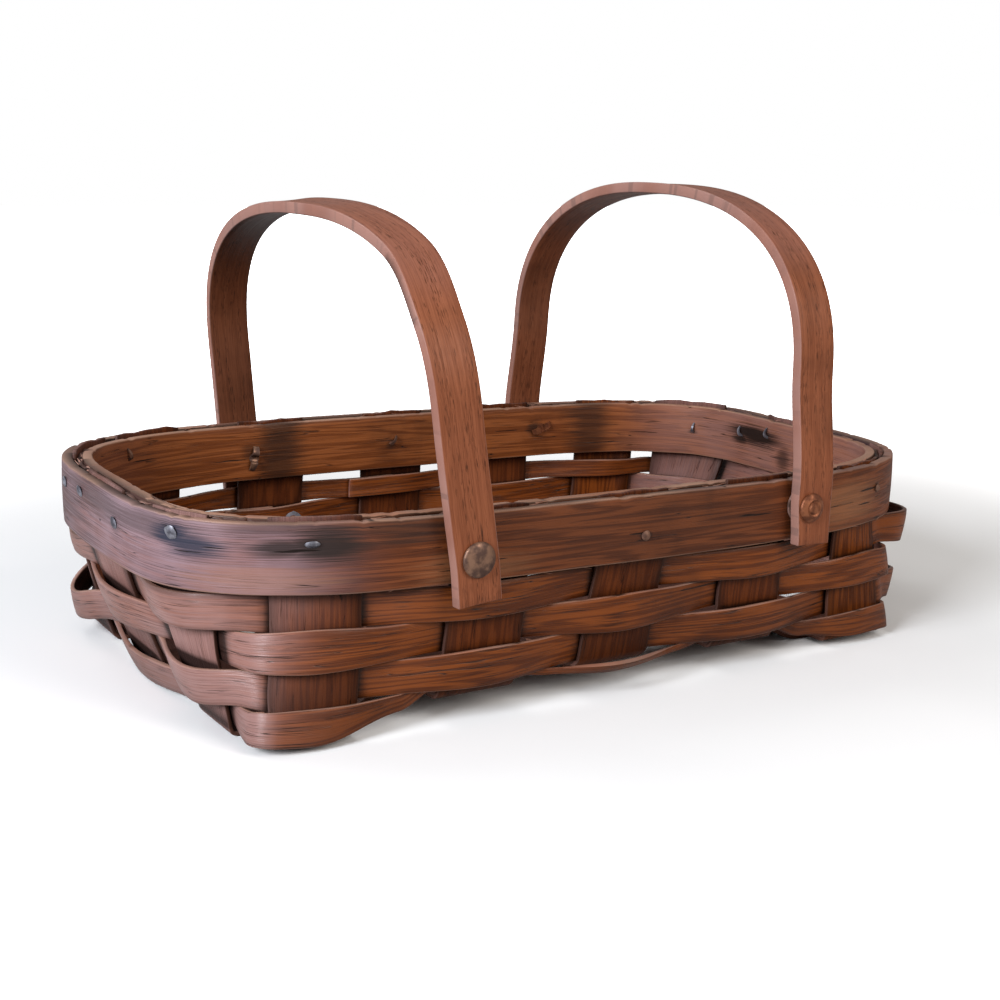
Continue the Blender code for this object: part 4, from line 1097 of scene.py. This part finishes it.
# Operators
class BASKET_OT_stage(Operator):
    """Sets up the pale floor, the soft light and the camera"""
    bl_idname = "basket.stage"
    bl_label = "Floor, light and camera"

    def execute(self, context):
        scene = context.scene
        setup = settings().stage
        bm = bmesh.new()
        bmesh.ops.create_grid(bm, x_segments=2, y_segments=2, size=setup.floor_size / 2)
        material, tree, shader = shade("Painted studio floor")
        ray = add_node(tree, "ShaderNodeLightPath").outputs["Is Camera Ray"]
        away = add_node(tree, "ShaderNodeVectorMath", {0: add_node(tree, "ShaderNodeTexCoord").outputs["Object"]},
                        operation="LENGTH").outputs["Value"]
        # To the camera the floor brightens with distance, until it runs out into white
        seen = add_node(tree, "ShaderNodeCombineColor", {i: ranged(tree, away, 0.32, 1.6, 1.0, 9.0) for i in range(3)})
        seen = blended(tree, ray, rgba(settings().colours.floor), seen.outputs[0])
        tree.links.new(seen, shader.inputs["Base Color"])
        # Matt paint, which takes soft shadows and no shine
        shader.inputs["Roughness"].default_value = 1.0
        shader.inputs["Specular IOR Level"].default_value = 0.0
        floor = new_piece("studio_floor", bm, material)

        world = bpy.data.worlds.new("Soft room")
        world.use_nodes = True
        scene.world = world
        tree = world.node_tree
        back = tree.nodes["Background"]
        paths = add_node(tree, "ShaderNodeLightPath").outputs
        seen = math_node(tree, "MAXIMUM", paths["Is Camera Ray"], paths["Is Transmission Ray"])
        tree.links.new(ranged(tree, seen, 0.0, 1.0, setup.fill, 1.0, "LINEAR"), back.inputs["Strength"])
        back.inputs["Color"].default_value = (1, 1, 1, 1)

        self.lamp("Window light", (-1.75, -0.55, 0.95), 0.9, setup.key, (0.90, 0.94, 1.0))
        self.lamp("Warm front light", (0.75, -1.8, 1.2), 1.3, setup.front, (1.0, 0.93, 0.86))
        self.lamp("Top back light", (-0.7, 1.2, 1.6), 1.2, setup.back, (1.0, 0.98, 0.97))

        lens = bpy.data.cameras.new("Photograph")
        lens.sensor_width, lens.lens = 36.0, 56.1
        lens.shift_x, lens.shift_y = -0.004, 0.003
        lens.clip_start, lens.clip_end = 0.05, 50.0
        camera = bpy.data.objects.new("Photograph", lens)
        scene.collection.objects.link(camera)
        # The camera's axes and place, fitted to the photograph
        right, up, back_axis = (0.84816, -0.5293, 0.02297), (0.1000, 0.2025, 0.9742), (-0.5203, -0.8239, 0.22475)
        turn = Matrix((right, up, back_axis)).transposed().to_4x4()
        camera.matrix_world = Matrix.Translation((-0.39598, -0.6343, 0.2336)) @ turn
        scene.camera = camera
        scene.view_settings.view_transform = "Standard"
        return {"FINISHED"}

    def lamp(self, name, place, size, power, colour):
        data = bpy.data.lights.new(name, "AREA")
        data.shape, data.size, data.energy, data.color = "DISK", size, power, colour
        made = bpy.data.objects.new(name, data)
        bpy.context.scene.collection.objects.link(made)
        aim = Vector((0, 0, 0.06)) - Vector(place)
        made.matrix_world = Matrix.Translation(place) @ aim.to_track_quat("-Z", "Y").to_matrix().to_4x4()


class BASKET_OT_stakes(Operator):
    """Lays the split-oak uprights that cross under the floor and turn up into the walls"""
    bl_idname = "basket.stakes"
    bl_label = "Stakes"

    def execute(self, context):
        # Uprights are matt and deeply cracked, because no hand rubs them behind the rows. The last cross
        # upright, at the right end, takes the paler weaver tones as painted light, where the light falls on it.
        finish = dict(crack_share=0.57, edge=0.12, relief=0.5, pores=(18.0, 0.34, 0.62, 0.4), gloss=0.12)
        look = split_wood("Split oak stake", "stake", **finish)
        painted_lit_stake = split_wood("Split oak stake painted lit", "oak", **finish)
        sizes = settings().weave
        halves = [width / 2 for width in LONG_WIDTHS]
        for i, share in enumerate(CROSS_SHARES):
            levels = [crossing_level(i, (i + j) % 2 == 0) for j in range(3)]
            across = 0.5 + (CROSS_CENTRES[i] - FLOOR_SHIFT) / FLOOR_LENGTH
            crossings = [left + (right - left) * across for left, right in zip(LONG_LEFT, LONG_RIGHT)]
            made = stake_strip(f"oak_cross_stake_{i + 1}", (share, 0.5 - share), (i, 12 - i), CROSS_WIDTH,
                               crossings, halves, levels, 1, 20 + i, painted_lit_stake if i == 4 else look, sizes)
            stand_in(made, "basket", "stake_splint", f"cross_stake_{i + 1}")
        for j, width in enumerate(LONG_WIDTHS):
            levels = [crossing_level(i, (i + j) % 2 == 1) for i in range(5)]
            made = stake_strip(f"oak_long_stake_{j + 1}", (LEFT_SHARES[j], RIGHT_SHARES[j]), (15 - j, 5 + j),
                               width, CROSS_CENTRES, [CROSS_WIDTH / 2] * 5, levels, 0, 30 + j, look, sizes)
            stand_in(made, "basket", "stake_splint", f"long_stake_{j + 1}")
        return {"FINISHED"}


class BASKET_OT_weavers(Operator):
    """Weaves the four rows of thin oak round the uprights"""
    bl_idname = "basket.weavers"
    bl_label = "Weavers"

    def execute(self, context):
        # The rows shine softly where hands rub them, and their open pores show as short dark dashes
        look = split_wood("Split oak weaver", "oak", crack_share=0.54, rough=0.33, gloss=0.27, edge=0.55,
                          pores=(18.0, 0.38, 0.58, 0.75))
        for row in range(4):
            made = weave_row(row, settings().weave, look)
            stand_in(made, "basket", "weaver_splint", f"weaver_row_{row + 1}")
        return {"FINISHED"}


def hoop_spots(start, seed, places):
    """Spots on a hoop, each (share, height share, half length, half height, depth), in its grain map."""
    return [(seed * 1.7 + (share - start) % 1.0 * RIM.length, seed * 0.31 + up * HOOP_HEIGHT,
             half_long * MM, half_high * MM, depth) for share, up, half_long, half_high, depth in places]


class BASKET_OT_hoops(Operator):
    """Bends the two hoops and the ragged filler splint round the wall's top"""
    bl_idname = "basket.hoops"
    bl_label = "Rim hoops"

    def execute(self, context):
        sizes = settings().weave
        # Both hoops have pale edges, rubbed and with a painted highlight, and open pores
        finish = dict(edge=0.75, edge_colour="#ab8670", pores=(24.0, 0.34, 0.62, 0.5))
        # The outer hoop: paler patches lower down as a painted sheen, smoky towards the left end and inked beside one
        # nail. Dark drying cracks run mostly from the nail holes.
        pale_sheen = hoop_spots(OUTER_START, OUTER_SEED, (
            (0.115, 0.45, 38, 15, 0.42), (0.925, 0.2, 34, 9, 0.4), (0.845, 0.2, 40, 8, 0.3)))
        smoky = hoop_spots(OUTER_START, OUTER_SEED, (
            (0.868, 0.70, 25, 11, 0.9), (0.852, 0.66, 17, 6, 0.85), (0.775, 0.60, 9, 7, 0.5), (0.734, 0.72, 9, 8, 0.45),
            (0.85, 0.95, 30, 5, 0.5), (0.003, 0.38, 5, 4, 0.7), (0.141, 0.58, 4, 3.5, 0.7), (0.75, 0.78, 80, 10, 0.55),
            (0.80, 0.8, 45, 8, 0.5), (0.90, 0.85, 32, 9, 0.55), (0.917, 0.5, 5, 20, 0.45),
            (0.685, 0.45, 95, 32, 0.5), (0.0, 0.5, 110, 34, 0.24)))
        inked = hoop_spots(OUTER_START, OUTER_SEED, ((0.814, 0.74, 14, 7, 0.85), (0.8215, 0.64, 19, 7, 0.85)))
        cracks = hoop_spots(OUTER_START, OUTER_SEED, (
            (0.133, 0.60, 12, 0.55, 1.0), (0.131, 0.36, 9, 0.55, 1.0), (0.0, 0.42, 9, 0.55, 1.0),
            (0.858, 0.62, 14, 0.55, 1.0), (0.82, 0.55, 10, 0.55, 1.0), (0.06, 0.5, 16, 0.55, 1.0),
            (0.93, 0.3, 14, 0.55, 1.0)))
        look = split_wood("Bent oak outer hoop", "hoop", cracks=cracks, crack_share=0.57,
                          stains=(("#b07a55", pale_sheen), ("#26211f", smoky), ("#1e2a3c", inked)), **finish)
        made = hoop_band("oak_outer_hoop", OUTER_OFFSET, OUTER_THICK, OUTER_START, OUTER_SEED, look, sizes)
        stand_in(made, "basket", "outer_rim", "outer_rim")

        # The inner hoop has kept its orange brown; the tall dark bands beside the handles' far legs are their painted
        # shadows, and the smaller dark spots are smoky stains near the nails and the right end
        smoky = hoop_spots(INNER_START, INNER_SEED, (
            (0.273, 0.62, 30, 9, 0.97), (0.283, 0.54, 12, 7, 0.95), (0.25, 0.3, 8, 10, 0.7), (0.319, 0.48, 5, 2, 0.7),
            (0.384, 0.5, 19, 45, 0.7), (0.418, 0.55, 7, 6, 0.7), (0.565, 0.5, 19, 45, 0.75), (0.58, 0.5, 8, 8, 0.6),
            (0.504, 0.45, 4, 4, 0.6)))
        cracks = hoop_spots(INNER_START, INNER_SEED, (
            (0.435, 0.55, 12, 0.55, 1.0), (0.59, 0.4, 14, 0.55, 1.0), (0.64, 0.6, 12, 0.55, 1.0),
            (0.35, 0.4, 14, 0.55, 1.0)))
        look = split_wood("Bent oak inner hoop", "inner", stains=(("#1d1512", smoky),), cracks=cracks, faded=0.85,
                          crack_share=0.56, **finish)
        made = hoop_band("oak_inner_hoop", INNER_OFFSET, INNER_THICK, INNER_START, INNER_SEED, look, sizes)
        stand_in(made, "basket", "inner_rim", "inner_rim")

        # The filler is a dark, crumbling edge between the pale hoops, with painted shade in the recess between them
        made = filler_band(split_wood("Torn oak filler", "stake", crack_share=0.5, edge=0.4), sizes)
        stand_in(made, "basket", "rim_filler", "rim_filler")
        return {"FINISHED"}


class BASKET_OT_handles(Operator):
    """Bends the two swing handles"""
    bl_idname = "basket.handles"
    bl_label = "Handles"

    def execute(self, context):
        # The handles are the reddest and smoothest wood: short fine pores, few cracks, pale edges
        look = split_wood("Steam-bent oak handle", "handle", crack_share=0.68, relief=0.25, edge=0.5,
                          edge_colour="#a8857c", pores=(5.0, 0.34, 0.56, 0.8), faded=0.9, bands=0.12)
        for side in HANDLES:
            made = bent_handle(side, look, settings().weave)
            stand_in(made, f"handle_{side}", "handle_wood", f"handle_{side}")
        return {"FINISHED"}


class BASKET_OT_rivets(Operator):
    """Sets the split rivets and their washers"""
    bl_idname = "basket.rivets"
    bl_label = "Rivets and washers"

    def execute(self, context):
        tones = settings().colours
        # The left pair is the browner one with worn bright patches, the right pair redder, the washers duller
        bronze = patina("Browned bronze rivet", tones.bronze, linear("#94705a"), 0.45, 0.6)
        copper = patina("Browned copper rivet", tones.copper, linear("#9c6040"), 0.5, 0.6)
        dull = patina("Browned bronze washer", tones.bronze, linear("#94746a"), 0.55, 0.5)
        for side in HANDLES:
            for where in ("near", "far"):
                made = rivet_piece(side, where, bronze if side == "left" else copper, settings().weave)
                stand_in(made, "basket", "bronze" if side == "left" else "copper", f"rivet_{side}_{where}")
                made = washer_piece(side, where, dull)
                stand_in(made, "basket", "washer_metal", f"washer_{side}_{where}")
        return {"FINISHED"}


class BASKET_OT_nails(Operator):
    """Drives the cut nails and clinches their tips"""
    bl_idname = "basket.nails"
    bl_label = "Clinch nails"

    def execute(self, context):
        tones = settings().colours
        # Most nails have a dull grey sheen, and some have rusted to a matt brown
        grey = patina("Dull cut nail iron", tones.iron, linear("#9c9ca6"), 0.42, 0.6)
        rusty = patina("Rusty cut nail iron", tones.rust, linear("#7d5a48"), 0.6, 0.4)
        for number in range(len(NAILS)):
            made = nail_piece(number, rusty if number in (0, 1, 5, 6) else grey)
            stand_in(made, "basket", "nail_iron", f"nail_{number + 1:02d}")
        return {"FINISHED"}


class BASKET_OT_fibres(Operator):
    """Lifts torn fibres from the edges of the hoops and weavers"""
    bl_idname = "basket.fibres"
    bl_label = "Loose fibres"

    def execute(self, context):
        sizes = settings().weave
        dice = random.Random(7)
        bm = bmesh.new()
        grain = bm.loops.layers.uv.new("Grain")
        bm.loops.layers.uv.new("Across")
        for _ in range(sizes.fibres):
            share = dice.random()
            kind = dice.random()
            if kind < 0.45:
                height, offset = RIM_LOW + dice.uniform(-0.2, 0.4) * MM, RIM_FACE - dice.uniform(0.8, 3.5) * MM
            elif kind < 0.75:
                height, offset = BASKET_HEIGHT - 0.5 * MM, dice.choice((0.0, FILLER_OFFSET)) + dice.uniform(-1, 1) * MM
            else:
                row = dice.randrange(3)
                height, offset = row_zone(row, sizes)[0] + 0.1 * MM, 0.0
            start = on_wall(share, height, offset)
            ahead = on_wall(share + 0.002, height, offset)
            along = (ahead - start).normalized() * dice.choice((-1, 1))
            up = 1 if 0.45 <= kind < 0.75 else -1
            outward = (wall_normal(share, height) * dice.uniform(-0.1, 0.4) + Vector((0, 0, up * 0.6))).normalized()
            sliver(bm, start, along, outward, dice.uniform(3, 10) * MM, dice.uniform(0.4, 1.0) * MM,
                   dice.uniform(0.3, 1.3) * MM)
        bmesh.ops.recalc_face_normals(bm, faces=bm.faces)
        for face in bm.faces:
            for loop in face.loops:
                loop[grain].uv = (loop.vert.co.x * 9, loop.vert.co.z * 5)
        # Torn fibres take the handles' paler tones, so that they show as fine light hairs
        look = split_wood("Torn oak fibre", "handle", crack_share=0.9)
        made = age(new_piece("torn_fibres", bm, look))
        stand_in(made, "basket", "weaver_splint")
        return {"FINISHED"}


class BASKET_PT_panel(Panel):
    """Lists the basket's steps and settings"""
    bl_idname = "BASKET_PT_panel"
    bl_label = "Foraging basket"
    bl_space_type = "VIEW_3D"
    bl_region_type = "UI"
    bl_category = "Basket"

    def draw(self, context):
        for operator in OPERATORS:
            self.layout.operator(operator.bl_idname)
        for group in (settings().weave, settings().colours, settings().stage):
            box = self.layout.box()
            for name in group.bl_rna.properties.keys():
                if name not in ("rna_type", "name"):
                    box.prop(group, name)


OPERATORS = (BASKET_OT_stage, BASKET_OT_stakes, BASKET_OT_weavers, BASKET_OT_hoops, BASKET_OT_handles,
             BASKET_OT_rivets, BASKET_OT_nails, BASKET_OT_fibres)
CLASSES = (BasketWeave, BasketColours, BasketStage, BasketSettings, *OPERATORS, BASKET_PT_panel)


def register():
    for one in CLASSES:
        bpy.utils.register_class(one)
    bpy.types.Scene.foraging_basket = PointerProperty(type=BasketSettings)


def unregister():
    del bpy.types.Scene.foraging_basket
    for one in reversed(CLASSES):
        bpy.utils.unregister_class(one)


def main():
    register()
    bpy.ops.basket.stage()
    bpy.ops.basket.stakes()
    bpy.ops.basket.weavers()
    bpy.ops.basket.hoops()
    bpy.ops.basket.handles()
    bpy.ops.basket.rivets()
    bpy.ops.basket.nails()
    bpy.ops.basket.fibres()


if __name__ == "__main__":
    main()
